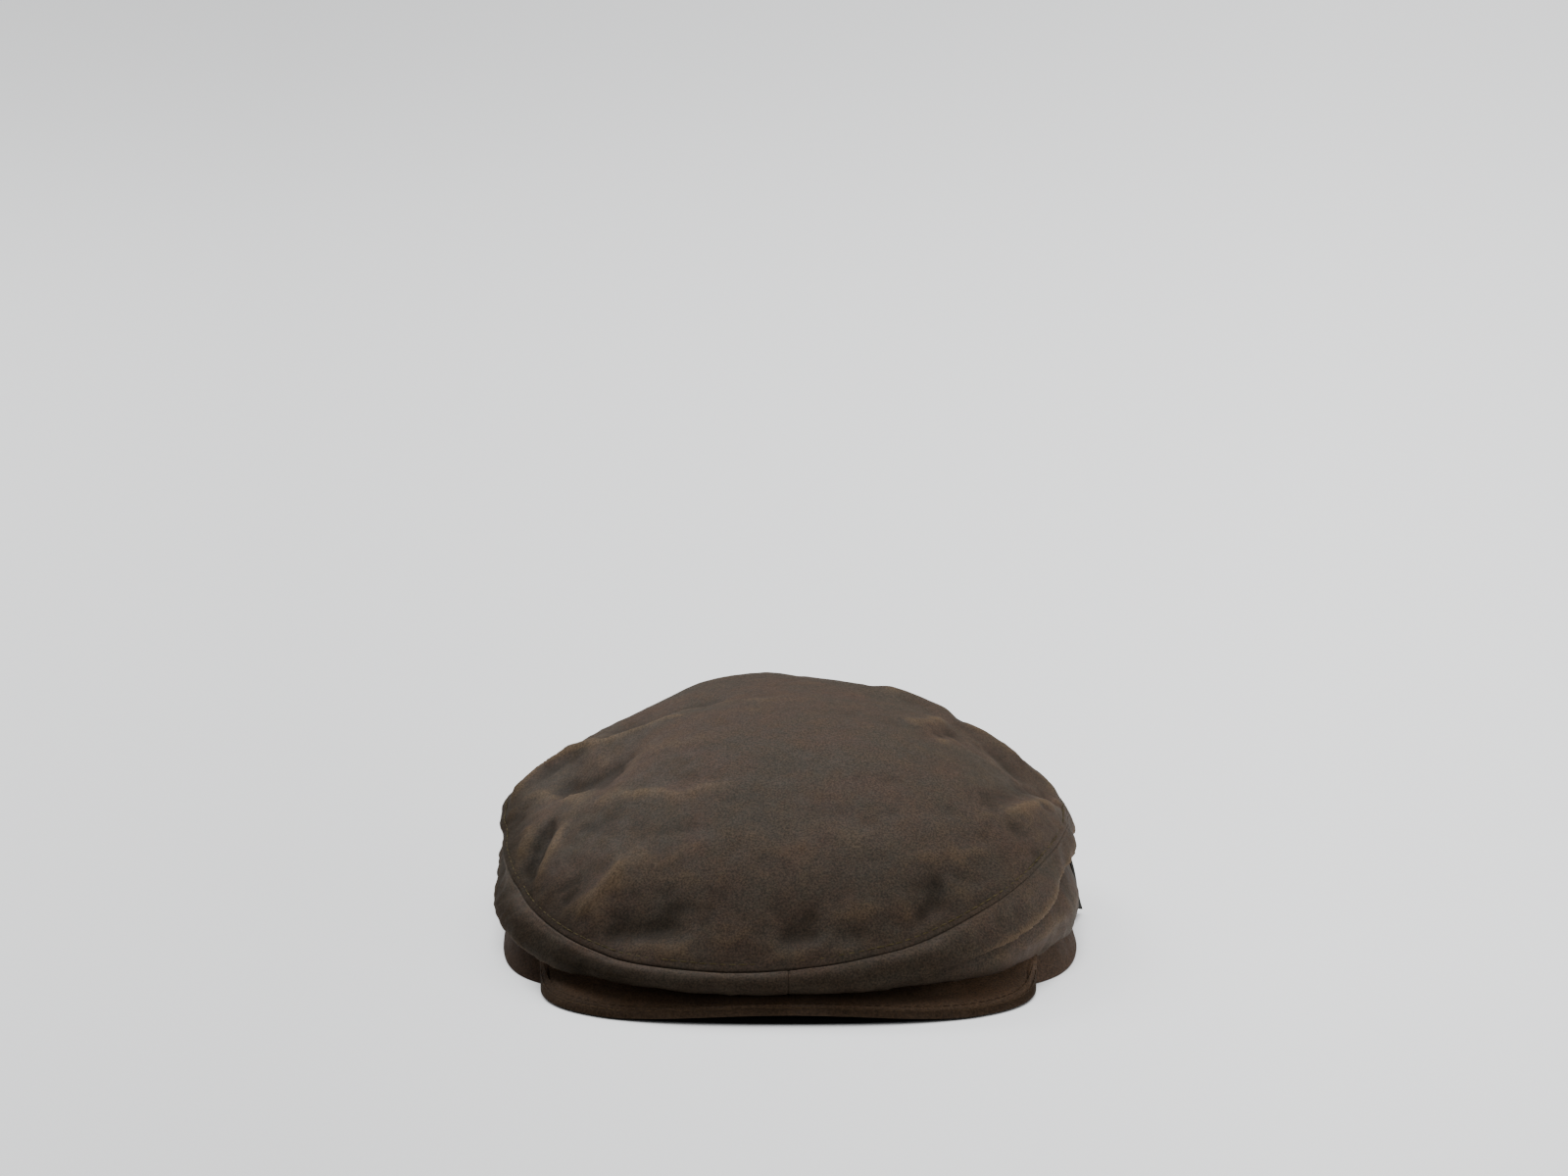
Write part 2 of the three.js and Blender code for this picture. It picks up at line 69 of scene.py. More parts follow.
# Head opening and band
OPENING_HALF_WIDTH = 97.5
OPENING_FRONT = 102
OPENING_BACK = 77
OPENING_FRONT_SQUARENESS = 5
OPENING_BACK_SQUARENESS = 2.2
BAND_WALL = 2.4
BAND_HEIGHT = 20
BAND_LEAN = 10
BAND_FRONT_LIFT = 4
BAND_GAP = 0.3  # band to what is sewn to it
BAND_FLARE = (0.4, 1.8)  # how far its rim swells outside the peak's left and right ends
BAND_FLARE_BEARING = 63

# Peak
PEAK_HALF_WIDTH = 84
PEAK_DEPTH = 38.6
PEAK_CORNER_DEPTH = 3
PEAK_SQUARENESS = 2.6
PEAK_THICKNESS = 3.2
PEAK_FRONT_ARCH = 3.3
PEAK_REAR_ARCH = 6.8
PEAK_WING_RISE = 2.4  # how much higher the rear line stands towards the ends
PEAK_WINGS = (25, 62)  # the rear line climbs between these distances from the middle
PEAK_REAR_SPAN = 170  # the rear line is still off the floor where the peak ends
PEAK_FLOOR_GAP = 0.2
PEAK_TOUCH = 60
PEAK_TOP_ROUNDING = 5  # how far in from the edge the upper face is rounded
PEAK_UNDER_ROUNDING = 1.2
PEAK_EDGE_SHARE = 0.35  # height of the foremost line of the edge, as a share of the thickness
PEAK_STITCH_LINES = (1.5, 3.7)  # edge to each row
PEAK_GROOVE_DEPTH = 0.16  # how far the rows of stitches pull the cloth in
PEAK_GROOVE_WIDTH = 0.4
PEAK_PUFF = 0.2  # how far the cloth stands up between the two rows
# the paper under the peak gets a painted shadow, in the oval given by PEAK_SHADE
PEAK_SHADE = (0.2, 0.1425)  # half axes in metres of the oval that its edge follows on the paper

# Tab
TAB_LENGTH = 20
TAB_WIDTH = 15
TAB_THICKNESS = 0.8
TAB_STAND = 0.7
TAB_FLARE = 3.4
TAB_BEARING = 84
TAB_SLANT = 0.12
TAB_FLOOR_GAP = 1.6

# Stitching
STITCH_LENGTH = 2.6
STITCH_SPACING = 3.3
STITCH_ARCH = 0.3  # how far a stitch stands up in its middle
STITCH_DIP = 0.12  # how far its ends sink, as a share of half its length
THREAD_RADIUS = 0.2
TOPSTITCH_INSET = 1.7  # top seam to its row of stitches
TOPSTITCH_DIP = -0.12  # relief of the cloth along that row

# Seams and drape
FAR_FROM_SEAM = 50.0  # distance given to the materials where no seam is near
SEAM_GIVE = 0.55  # how much of a fold the top seam follows
FOLD_LEAN = 0.7  # how far the side panels' creases hang over, as a share of their height
SAG_GAP = 0.6  # peak to the cloth that sags onto it
SAG_ENDS = (44, 56)  # the sag fades out between these bearings

# Sections of the crown by bearing: top seam's height as a share of CROWN_HEIGHT, the roll's lowest
# line as a share of LIP_HEIGHT, the swell as a share of ROLL, the exponent of the top panel's fall.
SECTIONS = [
    # bearing, seam, lip, roll, fullness
    (-150, 0.58, 0.9, 1.1, 2.15),
    (-120, 0.5, 0.85, 0.9, 2.05),
    (-95, 0.465, 0.85, 0.25, 1.98),
    (-75, 0.435, 0.9, 0.12, 1.95),
    (-60, 0.385, 1.05, 0.5, 2.1),
    (-45, 0.315, 1.17, 0.95, 2.35),
    (-30, 0.245, 1.1, 1.0, 2.55),
    (-15, 0.212, 1.0, 1.0, 2.7),
    (0, 0.22, 0.97, 1.0, 2.7),
    (15, 0.29, 1.0, 1.0, 2.65),
    (30, 0.41, 1.08, 1.0, 2.5),
    (45, 0.5, 1.15, 0.9, 2.3),
    (60, 0.52, 1.0, 0.75, 2.2),
    (75, 0.5, 0.9, 0.25, 2.2),
    (95, 0.455, 0.85, 0.25, 2.3),
    (120, 0.46, 0.85, 0.9, 2.3),
    (150, 0.55, 0.9, 1.1, 2.15),
    (180, 0.62, 0.95, 1.25, 2.1),
]

# Folds of the top panel. Each follows a path of (bearing, reach), reach 0 at the summit and 1 at the
# seam, written from the wearer's right to left. rise is its height in mm, negative for a hollow;
# behind and before are its half-widths in mm on its two sides; round is 1 for a crisp crest, 2 for
# a soft one.
TOP_FOLDS = [
    # name, rise, behind, before, round, path
    ("trough behind the summit ridge", -3.2, 12, 7, 1.6, [(-94, 0.68), (-94, 0.5), (-88, 0.34), (-62, 0.18)]),
    ("summit ridge", 0.9, 3.5, 12, 1.0,
     [(-97, 0.64), (-90, 0.48), (-78, 0.34), (-58, 0.2), (-20, 0.1), (40, 0.1)]),
    ("shoulder ridge, outer", 4.2, 8, 4, 1.0,
     [(-80, 0.97), (-88, 0.92), (-95, 0.84), (-88, 0.74), (-80, 0.6)]),
    ("shoulder ridge, inner", 2.6, 8, 7, 1.1, [(-90, 0.76), (-81, 0.62), (-70, 0.47), (-52, 0.33)]),
    ("hollow under the shoulder", -4.2, 7, 11, 1.6, [(-76, 0.87), (-69, 0.76), (-60, 0.65), (-50, 0.55)]),
    ("long crease, outer", 2.2, 3, 8, 1.0, [(-92, 0.97), (-78, 0.86), (-62, 0.77), (-50, 0.72)]),
    ("long crease, inner", 1.5, 3, 8, 1.0, [(-50, 0.71), (-38, 0.66), (-24, 0.62), (-8, 0.58)]),
    ("hollow under the long crease", -1.2, 8, 10, 1.8, [(-62, 0.85), (-48, 0.8), (-34, 0.77)]),
    ("edge tuck, left", 0.9, 3, 3, 1.2, [(-84, 0.99), (-80, 0.96), (-76, 0.95)]),
    ("rear crest, left", 2.0, 10, 10, 1.6, [(-130, 0.6), (-150, 0.45), (-190, 0.4)]),
    ("rear crest, right", 2.6, 12, 10, 1.6, [(120, 0.35), (112, 0.5), (105, 0.65)]),
    ("rear hollow, left", -2.2, 12, 10, 1.7, [(-112, 0.85), (-135, 0.7), (-160, 0.66)]),
    ("rear hollow, right", -2.4, 12, 10, 1.7, [(170, 0.62), (148, 0.7), (125, 0.82)]),
    ("rear ridge, right", 1.6, 5, 9, 1.2, [(165, 0.8), (145, 0.84), (128, 0.94)]),
    ("right ridge, upper", 1.8, 5, 6, 1.2, [(44, 0.42), (58, 0.44), (72, 0.5), (90, 0.56)]),
    ("right ridge, lower", 1.6, 4, 7, 1.1, [(50, 0.54), (62, 0.58), (72, 0.62)]),
    ("hollow between the right ridges", -1.0, 5, 5, 1.6, [(55, 0.5), (66, 0.56), (80, 0.62)]),
    ("right shoulder ridge", 2.5, 9, 8, 1.4, [(101, 0.62), (98, 0.74), (92, 0.86), (88, 0.96)]),
    ("hollow inside the right shoulder", -1.5, 7, 6, 1.6, [(86, 0.68), (82, 0.78), (78, 0.87)]),
    ("right crease", 3.2, 3, 8, 1.0, [(43, 0.85), (52, 0.865), (62, 0.9), (71, 0.94), (77, 0.985)]),
    ("hollow above the right crease", -2.4, 8, 4, 1.4, [(58, 0.83), (68, 0.87), (80, 0.92), (88, 0.97)]),
    ("second right wrinkle", 0.9, 3, 5, 1.2, [(34, 0.8), (44, 0.84), (54, 0.9)]),
    ("third right wrinkle", 0.8, 3, 5, 1.2, [(30, 0.88), (38, 0.91), (45, 0.96)]),
    ("left groove", -5.4, 5, 3.2, 1.2, [(-62, 0.86), (-58, 0.9), (-54, 0.94), (-48, 0.975)]),
    ("ridge beside the left groove", 1.9, 3, 6, 1.1, [(-54, 0.84), (-50, 0.88), (-47, 0.93), (-44, 0.96)]),
    ("ridge outside the left groove", 1.4, 3, 4, 1.1, [(-68, 0.93), (-62, 0.96), (-56, 0.985)]),
    ("pucker at the left front", 2.6, 4, 3.5, 1.0, [(-29, 0.82), (-31, 0.88), (-33, 0.95), (-33.5, 0.99)]),
    ("dent left of the pucker", -1.9, 5, 5, 1.5, [(-40, 0.88), (-38, 0.93), (-37, 0.97)]),
    ("small pucker", 0.9, 2.5, 2.5, 1.2, [(-39, 0.9), (-38.5, 0.94), (-39, 0.98)]),
    ("front dent, left", -3.6, 8, 5, 1.6, [(-30, 0.985), (-24, 0.95), (-14, 0.91)]),
    ("front dent, middle", -1.9, 6, 5, 1.6, [(-3, 0.975), (2, 0.93), (5, 0.88)]),
    ("front dent, right", -2.6, 7, 6, 1.6, [(18, 0.985), (21, 0.95), (27, 0.9)]),
    ("right shoulder corner", 2.4, 6, 7, 1.6, [(106, 0.86), (97, 0.93), (88, 0.98), (80, 1.03)]),
    ("front swell, left", 0.5, 8, 8, 1.6, [(-12, 0.97), (-8, 0.92)]),
    ("front swell, right", 0.5, 8, 8, 1.6, [(9, 0.97), (12, 0.9)]),
]

# Creases of the side panels, along a path of (bearing, drop), drop 0 at the seam and 1 at the lip;
# rise in mm, half-widths as shares of the drop, above and below the line, and round as before.
SIDE_FOLDS = [
    # name, rise, above, below, round, path
    ("left roll edge", 2.8, 0.2, 0.035, 1.1,
     [(-26, 0.97), (-32, 0.91), (-40, 0.82), (-50, 0.7), (-62, 0.6), (-76, 0.55), (-95, 0.52)]),
    ("left crease", -5.4, 0.035, 0.3, 1.3,
     [(-30, 1.0), (-42, 0.87), (-52, 0.75), (-63, 0.65), (-77, 0.6), (-92, 0.58)]),
    ("left second layer", 2.4, 0.12, 0.14, 1.4, [(-56, 0.88), (-70, 0.82), (-84, 0.8), (-102, 0.78)]),
    ("right roll edge", 2.6, 0.26, 0.04, 1.1,
     [(24, 0.68), (30, 0.6), (38, 0.5), (46, 0.4), (54, 0.28), (66, 0.2), (96, 0.2)]),
    ("right crease", -4.0, 0.045, 0.16, 1.2,
     [(24, 0.78), (30, 0.7), (38, 0.6), (46, 0.5), (55, 0.4), (68, 0.33), (94, 0.36)]),
    ("right second layer", 1.8, 0.12, 0.18, 1.4, [(34, 0.84), (46, 0.74), (60, 0.72), (84, 0.74)]),
    ("left hollow", -2.4, 0.3, 0.25, 1.8, [(-58, 0.32), (-80, 0.28), (-108, 0.34)]),
    ("back dent, left", -2.6, 0.2, 0.2, 1.6, [(-135, 0.35), (-150, 0.45), (-165, 0.55)]),
    ("back dent, right", -2.6, 0.2, 0.2, 1.6, [(125, 0.55), (145, 0.42), (165, 0.3)]),
    ("back ridge", 1.4, 0.1, 0.16, 1.2, [(130, 0.72), (150, 0.66), (176, 0.7)]),
    ("side dent, left", -1.6, 0.15, 0.2, 1.6, [(-100, 0.3), (-118, 0.45)]),
    ("side dent, right", -1.6, 0.15, 0.2, 1.6, [(102, 0.42), (118, 0.3)]),
]


# Form of the crown, in mm


def smooth(low, high, value):
    """0 up to low, 1 from high on, and a smooth step between."""
    t = np.clip((value - low) / (high - low), 0, 1)
    return t * t * (3 - 2 * t)


def hump(value, middle, width):
    """1 in the middle, falling smoothly to 0 well beyond this half-width."""
    return np.exp(-(((value - middle) / width) ** 2))


def wrapped(bearing):
    """The same bearing, from -180 up to 180."""
    return (bearing + 180) % 360 - 180


def section_column(index):
    """A column of SECTIONS as a smooth curve of the bearing that closes on itself."""
    rows = np.array(SECTIONS, float)
    turn = np.concatenate([rows[:, 0] - 360, rows[:, 0], rows[:, 0] + 360])
    value = np.tile(rows[:, index], 3)
    slope = np.zeros_like(value)
    slope[1:-1] = (value[2:] - value[:-2]) / (turn[2:] - turn[:-2])

    def curve(bearing):
        i = np.searchsorted(turn, bearing, side="right") - 1
        span = turn[i + 1] - turn[i]
        t = (bearing - turn[i]) / span
        t2, t3 = t * t, t * t * t
        start = (2 * t3 - 3 * t2 + 1) * value[i] + (t3 - 2 * t2 + t) * span * slope[i]
        return start + (3 * t2 - 2 * t3) * value[i + 1] + (t3 - t2) * span * slope[i + 1]

    return curve


seam_share, lip_share, roll_share, fullness = (section_column(i) for i in (1, 2, 3, 4))


def plan_radius(bearing, half_width, front, back, front_squareness, back_squareness):
    """Radius of an oval whose front and back halves have lengths and squareness of their own."""
    angle = np.radians(bearing)
    along = np.cos(angle)
    n = back_squareness + (front_squareness - back_squareness) * (0.5 + 0.5 * np.tanh(3 * along))
    across = np.abs(np.sin(angle)) / half_width
    lengthwise = np.abs(along) / np.where(along > 0, front, back)
    return (across**n + lengthwise**n) ** (-1 / n)


def seam_radius(bearing):
    plan = (CROWN_HALF_WIDTH, CROWN_FRONT, CROWN_BACK, FRONT_SQUARENESS, BACK_SQUARENESS)
    return plan_radius(bearing, *plan) - CROWN_SWAY * np.sin(np.radians(bearing))


def band_radius(bearing, height):
    """Outer radius of the band, which leans in as it rises."""
    squareness = (OPENING_FRONT_SQUARENESS, OPENING_BACK_SQUARENESS)
    radius = plan_radius(bearing, OPENING_HALF_WIDTH, OPENING_FRONT, OPENING_BACK, *squareness)
    return radius + BAND_WALL - BAND_LEAN * height / BAND_HEIGHT


def polar(bearing, radius, height):
    """Points round the crown's middle, in mm."""
    angle = np.radians(bearing)
    x, y, z = np.broadcast_arrays(radius * np.sin(angle), -radius * np.cos(angle), height)
    return np.stack([x, y, z], -1)


def top_base(bearing, reach):
    """The smooth top panel, without folds."""
    seam = CROWN_HEIGHT * seam_share(bearing)
    height = seam + (CROWN_HEIGHT - seam) * (1 - reach ** fullness(bearing))
    return polar(bearing, reach * seam_radius(bearing), height)


def peak_under(x, depth):
    """Height of the peak's underside, this far to the side; depth is 0 at the edge and 1 at the band."""

    def arch(height, span, power):
        return height * np.cos(math.pi / 2 * np.minimum(1, np.abs(x) / span)) ** power

    # a power over 1 draws the arch to its middle, one under 1 keeps it up longer
    front = arch(PEAK_FRONT_ARCH, PEAK_TOUCH, 1.3)
    rear = arch(PEAK_REAR_ARCH, PEAK_REAR_SPAN, 0.8) + PEAK_WING_RISE * smooth(*PEAK_WINGS, np.abs(x))
    return PEAK_FLOOR_GAP + front + (rear - front) * depth


def side_section(bearing):
    """Knots of a side panel's section as (6, n, 2): seam, two bellies, lip, underside, tuck."""
    seam_r = seam_radius(bearing)
    seam_z = CROWN_HEIGHT * seam_share(bearing)
    lip = LIP_HEIGHT * lip_share(bearing)
    swell = ROLL * roll_share(bearing)
    tuck_z = lip + TUCK_RISE * (1 - 0.5 * np.maximum(0, np.cos(np.radians(bearing))))
    tuck_r = band_radius(bearing, tuck_z) + BAND_GAP
    lip_r = np.maximum(seam_r + 0.3 * swell, tuck_r + OVERHANG)
    belly_r = np.maximum(seam_r + swell, lip_r + 0.3 * swell)
    # over the peak the underside sags onto it
    under_r = 0.45 * lip_r + 0.55 * tuck_r
    sag = 1 - smooth(*SAG_ENDS, np.abs(wrapped(bearing)))
    on_peak = peak_under(under_r * np.sin(np.radians(bearing)), 0.5) + PEAK_THICKNESS + SAG_GAP
    under_z = lip + 0.08 * (tuck_z - lip)
    under_z = under_z + (np.minimum(on_peak, under_z) - under_z) * sag
    knots = [
        (seam_r, seam_z),
        (seam_r + 0.6 * swell, lip + 0.74 * (seam_z - lip)),
        (belly_r, lip + 0.38 * (seam_z - lip)),
        (lip_r, lip),
        (under_r, under_z),
        (tuck_r, tuck_z),
    ]
    return np.array([np.stack(knot, -1) for knot in knots])


LIP_KNOT = 3


def side_base(bearing, knot):
    """The smooth side panels: points for arrays of bearings and knots of the same shape."""
    shape = np.broadcast(bearing, knot).shape
    bearing, knot = (np.broadcast_to(a, shape).ravel() for a in (bearing, knot))
    points = side_section(bearing)
    points = np.concatenate([[2 * points[0] - points[1]], points, [2 * points[-1] - points[-2]]])
    i = np.minimum(knot.astype(int), 4)
    t = (knot - i)[:, None]
    pick = np.arange(len(knot))
    p0, p1, p2, p3 = (points[i + k, pick] for k in range(4))
    d0, d1, d2 = (np.sqrt(np.linalg.norm(b - a, axis=1))[:, None] for a, b in ((p0, p1), (p1, p2), (p2, p3)))
    m1 = ((p1 - p0) / d0 - (p2 - p0) / (d0 + d1) + (p2 - p1) / d1) * d1
    m2 = ((p2 - p1) / d1 - (p3 - p1) / (d1 + d2) + (p3 - p2) / d2) * d1
    t2, t3 = t * t, t * t * t
    spot = (2 * t3 - 3 * t2 + 1) * p1 + (t3 - 2 * t2 + t) * m1 + (3 * t2 - 2 * t3) * p2 + (t3 - t2) * m2
    return polar(bearing, spot[:, 0], spot[:, 1]).reshape(shape + (3,))


def unit(vectors):
    return vectors / np.maximum(np.linalg.norm(vectors, axis=-1, keepdims=True), 1e-9)


def seam_mitre(bearing):
    """At the top seam, the way into the wall shared by both panels, one wall thick per unit."""
    step = 0.4
    top, side = top_base(bearing, np.ones_like(bearing)), side_base(bearing, np.zeros_like(bearing))
    round_ = top_base(bearing + step, np.ones_like(bearing)) - top
    top_normal = unit(np.cross(top - top_base(bearing, np.full_like(bearing, 0.98)), round_))
    side_normal = unit(np.cross(side_base(bearing, np.full_like(bearing, 0.05)) - side, round_))
    bisector = unit(top_normal + side_normal)
    share = np.maximum(0.7, (bisector * top_normal).sum(-1, keepdims=True))
    return bisector / share


# Relief


def waves(points, seed, wavelength, stretch=(1, 1, 1), count=36):
    """A smooth random field, about -1 to 1, of this wavelength in mm; stretch lengthens it along an axis."""
    rng = np.random.default_rng(seed)
    way = unit(rng.normal(size=(count, 3))) / np.array(stretch)
    way *= (2 * math.pi / wavelength) * rng.uniform(0.6, 1.5, (count, 1))
    phase = rng.uniform(0, 2 * math.pi, count)
    flat = points.reshape(-1, 3)
    total = np.zeros(len(flat))
    for k in range(count):
        total += np.cos(flat @ way[k] + phase[k])
    return (total / math.sqrt(count / 2) / 1.6).reshape(points.shape[:-1])


def path_distance(x, y, path):
    """Distance to a path, which side of it (+1 left, -1 right), and how far along (0 to 1)."""
    path = np.array(path, float)
    lengths = np.linalg.norm(path[1:] - path[:-1], axis=1)
    before = np.concatenate([[0], np.cumsum(lengths)])
    best = np.full(x.shape, 1e9)
    side = np.ones(x.shape)
    along = np.zeros(x.shape)
    for k, (a, b) in enumerate(zip(path[:-1], path[1:])):
        dx, dy = b - a
        t = np.clip(((x - a[0]) * dx + (y - a[1]) * dy) / (dx * dx + dy * dy), 0, 1)
        off_x, off_y = x - a[0] - t * dx, y - a[1] - t * dy
        distance = np.hypot(off_x, off_y)
        near = distance < best
        best = np.where(near, distance, best)
        side = np.where(near, np.sign(dx * off_y - dy * off_x), side)
        along = np.where(near, (before[k] + t * lengths[k]) / before[-1], along)
    return best, side, along


def fold(x, y, path, rise, left, right, round_, blunt, taper):
    """Height of one fold: a crest that dies out at its ends, with its own width on each side."""
    distance, side, along = path_distance(x, y, path)
    width = np.where(side > 0, left, right)
    ends = 0.25 + 0.75 * smooth(0, taper, along) * (1 - smooth(1 - taper, 1, along))
    return rise * ends * np.exp(-((np.hypot(distance, blunt) / width) ** round_))


def top_folds(points):
    """Broad relief of the top panel: its folds and the soft wrinkles between them."""
    x, y = points[..., 0], points[..., 1]
    warp = 2.0 * waves(points, 11, 38) + 0.8 * waves(points, 12, 12)
    total = np.zeros(x.shape)
    for _, rise, behind, before, round_, path in TOP_FOLDS:
        bearing, share = np.array(path, float).T
        plan = polar(bearing, share * seam_radius(bearing), 0.0)[:, :2]
        total += fold(x + warp, y + 0.7 * warp, plan, rise, behind, before, round_, 0.7, 0.3)
    soft = waves(points, 21, 46, stretch=(1.9, 1, 1))
    ridged = 1 - np.abs(waves(points, 22, 30, stretch=(2.2, 1, 1))) * 1.6
    return total + 0.45 * soft + 0.14 * ridged


SEAM_TURNS = np.arange(-180, 180.5, 0.5)


def seam_stray():
    """How far the top seam strays from its smooth line at SEAM_TURNS, as vectors in mm."""
    line = top_base(SEAM_TURNS, np.ones_like(SEAM_TURNS))
    turn = np.radians(SEAM_TURNS)
    # besides the folds, the sewing itself wavers 11 and 27 times round the cap
    height = SEAM_GIVE * top_folds(line) + 0.25 * np.sin(11 * turn + 1) + 0.18 * np.sin(27 * turn + 2)
    return height[:, None] * unit(seam_mitre(SEAM_TURNS))


SEAM_STRAY = seam_stray()


def stray(bearing):
    """The top seam's stray at any bearing."""
    flat = wrapped(bearing.ravel())
    columns = [np.interp(flat, SEAM_TURNS, SEAM_STRAY[:, k]) for k in range(3)]
    return np.stack(columns, -1).reshape(bearing.shape + (3,))


def near_top_seam(reach):
    """How much of the top panel's relief has given way to the seam's own stray."""
    return smooth(0.93, 1, reach)


def side_folds(points, bearing, drop):
    """Broad relief of the side panels; drop is 0 at the seam and 1 at the lip."""
    total = np.zeros(bearing.shape)
    sway = 0.02 * waves(points, 33, 30)
    for _, rise, above, below, round_, path in SIDE_FOLDS:
        # bearings count 1/60 against the drop, so that a path's ends taper over about 15 degrees
        plan = [(b / 60, -d) for b, d in path]
        if plan[0][0] > plan[-1][0]:
            plan.reverse()
        total += fold(bearing / 60, sway - drop, plan, rise, above, below, round_, 0.012, 0.15)
    total += 0.5 * waves(points, 31, 34, stretch=(1.6, 1.6, 0.8))
    total += 0.2 * (1 - np.abs(waves(points, 32, 22, stretch=(2, 2, 0.7))) * 1.6)
    return total * smooth(0, 0.18, drop) * (1 - smooth(1.1, 1.5, drop))


def crumple(points, seed):
    """Fine creasing of waxed cloth, in mm."""
    small = 1 - np.abs(waves(points, seed, 11, stretch=(1.5, 1.5, 1))) * 1.5
    streaks = waves(points, seed + 2, 15, stretch=(3.5, 1, 1))
    return 0.16 * small + 0.07 * waves(points, seed + 1, 5) + 0.2 * streaks


def pucker(points, seed, distance, reach=9.0):
    """Little gathers along a seam, strongest beside it."""
    return 0.22 * waves(points, seed, 9) * np.exp(-distance / reach) * smooth(0, 2, distance)


# Meshes


def grid_normals(points, wrap=False):
    """Smooth normals of a grid of points; the second axis may close on itself."""
    if wrap:
        points = np.concatenate([points[:, -1:], points, points[:, :1]], 1)
    a = points[1:, 1:] - points[:-1, :-1]
    b = points[:-1, 1:] - points[1:, :-1]
    face = np.cross(a, b)
    total = np.zeros_like(points)
    total[:-1, :-1] += face
    total[1:, :-1] += face
    total[:-1, 1:] += face
    total[1:, 1:] += face
    if wrap:
        total = total[:, 1:-1]
    return unit(total)


def blur(values, rounds):
    """Values of a grid smoothed over their neighbours."""
    for _ in range(rounds):
        padded = np.pad(values, 1, mode="edge")
        values = (padded[:-2, 1:-1] + padded[2:, 1:-1] + padded[1:-1, :-2] + padded[1:-1, 2:]) / 4
    return values


CROWN_X = (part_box("headband")[0].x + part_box("headband")[1].x) / 2
CROWN_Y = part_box("headband")[1].y - (OPENING_BACK + BAND_WALL) * MM


def to_frame(points):
    """Millimetres round the crown's middle as metres in the part's frame."""
    return points.reshape(-1, 3) * MM + np.array([CROWN_X, CROWN_Y, 0])


def mesh_object(name, points, faces, material, attributes=None):
    """One smooth mesh in one material; attributes are values by name, one for each point."""
    mesh = bpy.data.meshes.new(name)
    mesh.from_pydata(to_frame(points).tolist(), [], faces.tolist())
    for key, values in (attributes or {}).items():
        layer = mesh.attributes.new(key, "FLOAT", "POINT")
        layer.data.foreach_set("value", values.ravel().astype(np.float32))
    mesh.materials.append(material)
    mesh.shade_smooth()
    mesh.set_sharp_from_angle(angle=math.radians(55))
    made = bpy.data.objects.new(name, mesh)
    bpy.context.scene.collection.objects.link(made)
    return made


def quads(index, wrap=False):
    """Faces of a grid of vertex numbers."""
    if wrap:
        index = np.concatenate([index, index[:, :1]], 1)
    corners = (index[:-1, :-1], index[1:, :-1], index[1:, 1:], index[:-1, 1:])
    return np.stack(corners, -1).reshape(-1, 4)


def shell_faces(rows, columns):
    """Faces of a closed wall between an outer grid and an inner grid of the same size."""
    outer = np.arange(rows * columns).reshape(rows, columns)
    inner = outer + rows * columns
    faces = [quads(outer), quads(inner)[:, ::-1]]
    rims = [
        (inner[0], outer[0]),
        (outer[-1], inner[-1]),
        (outer[:, 0], inner[:, 0]),
        (inner[:, -1], outer[:, -1]),
    ]
    for near, far in rims:
        faces.append(quads(np.stack([near, far])))
    return np.concatenate(faces)


def spaced(total, first, growth, largest, both_ends=False):
    """Steps from 0 to 1 that start small and grow; with both_ends they shrink again."""
    steps = [first]
    while sum(steps) < total:
        steps.append(min(largest, steps[-1] * growth))
    steps = np.array(steps)
    if both_ends:
        steps = np.minimum(steps, steps[::-1])
    return np.concatenate([[0], np.cumsum(steps)]) / steps.sum()


def shell(name, base, normal, broad, fine, mitre, near_seam, painted_shade):
    """A cloth wall: outer face with all its relief, inner face that follows the broad folds."""
    outer = base + normal * (broad + fine)[..., None]
    share = (1 - smooth(0, 4, near_seam))[..., None]
    way = normal + (mitre - normal) * share
    inner = base + normal * broad[..., None] - way * CLOTH
    crest = broad + fine - blur(broad + fine, 24)
    zero = np.zeros_like(crest)
    attributes = {
        "crest": np.stack([crest, zero]),
        "seam": np.stack([near_seam, zero + FAR_FROM_SEAM]),
        "painted_shade": np.stack([painted_shade, zero]),
    }
    faces = shell_faces(*base.shape[:2])
    return mesh_object(name, np.stack([outer, inner]), faces, WAXED_COTTON, attributes)


# Materials


def linear(hex_colour):
    """An sRGB colour as the linear values that a socket takes."""
    values = [int(hex_colour[i : i + 2], 16) / 255 for i in (1, 3, 5)]
    return tuple(v / 12.92 if v <= 0.04045 else ((v + 0.055) / 1.055) ** 2.4 for v in values) + (1.0,)


def add(tree, kind, inputs=None, **settings):
    """Adds a node with its settings, and its inputs as values or as the sockets that feed them."""
    made = tree.nodes.new(kind)
    for key, value in settings.items():
        setattr(made, key, value)
    for key, value in (inputs or {}).items():
        if isinstance(value, bpy.types.NodeSocket):
            tree.links.new(value, made.inputs[key])
        else:
            made.inputs[key].default_value = value
    return made


def new_tree(name):
    """A new material and its empty tree."""
    material = bpy.data.materials.new(name)
    material.use_nodes = True
    material.node_tree.nodes.clear()
    return material, material.node_tree


def noise(tree, place, size, detail=2.0, roughness=0.5, distortion=0.0):
    """Noise with features of about this size in mm."""
    inputs = {
        "Vector": place,
        "Scale": 1 / (size * MM),
        "Detail": detail,
        "Roughness": roughness,
        "Distortion": distortion,
    }
    return add(tree, "ShaderNodeTexNoise", inputs).outputs["Fac"]


def remap(tree, value, low, high, to_low=0.0, to_high=1.0):
    """The value moved from one range to another, and held at its ends."""
    inputs = {"Value": value, "From Min": low, "From Max": high, "To Min": to_low, "To Max": to_high}
    return add(tree, "ShaderNodeMapRange", inputs).outputs["Result"]


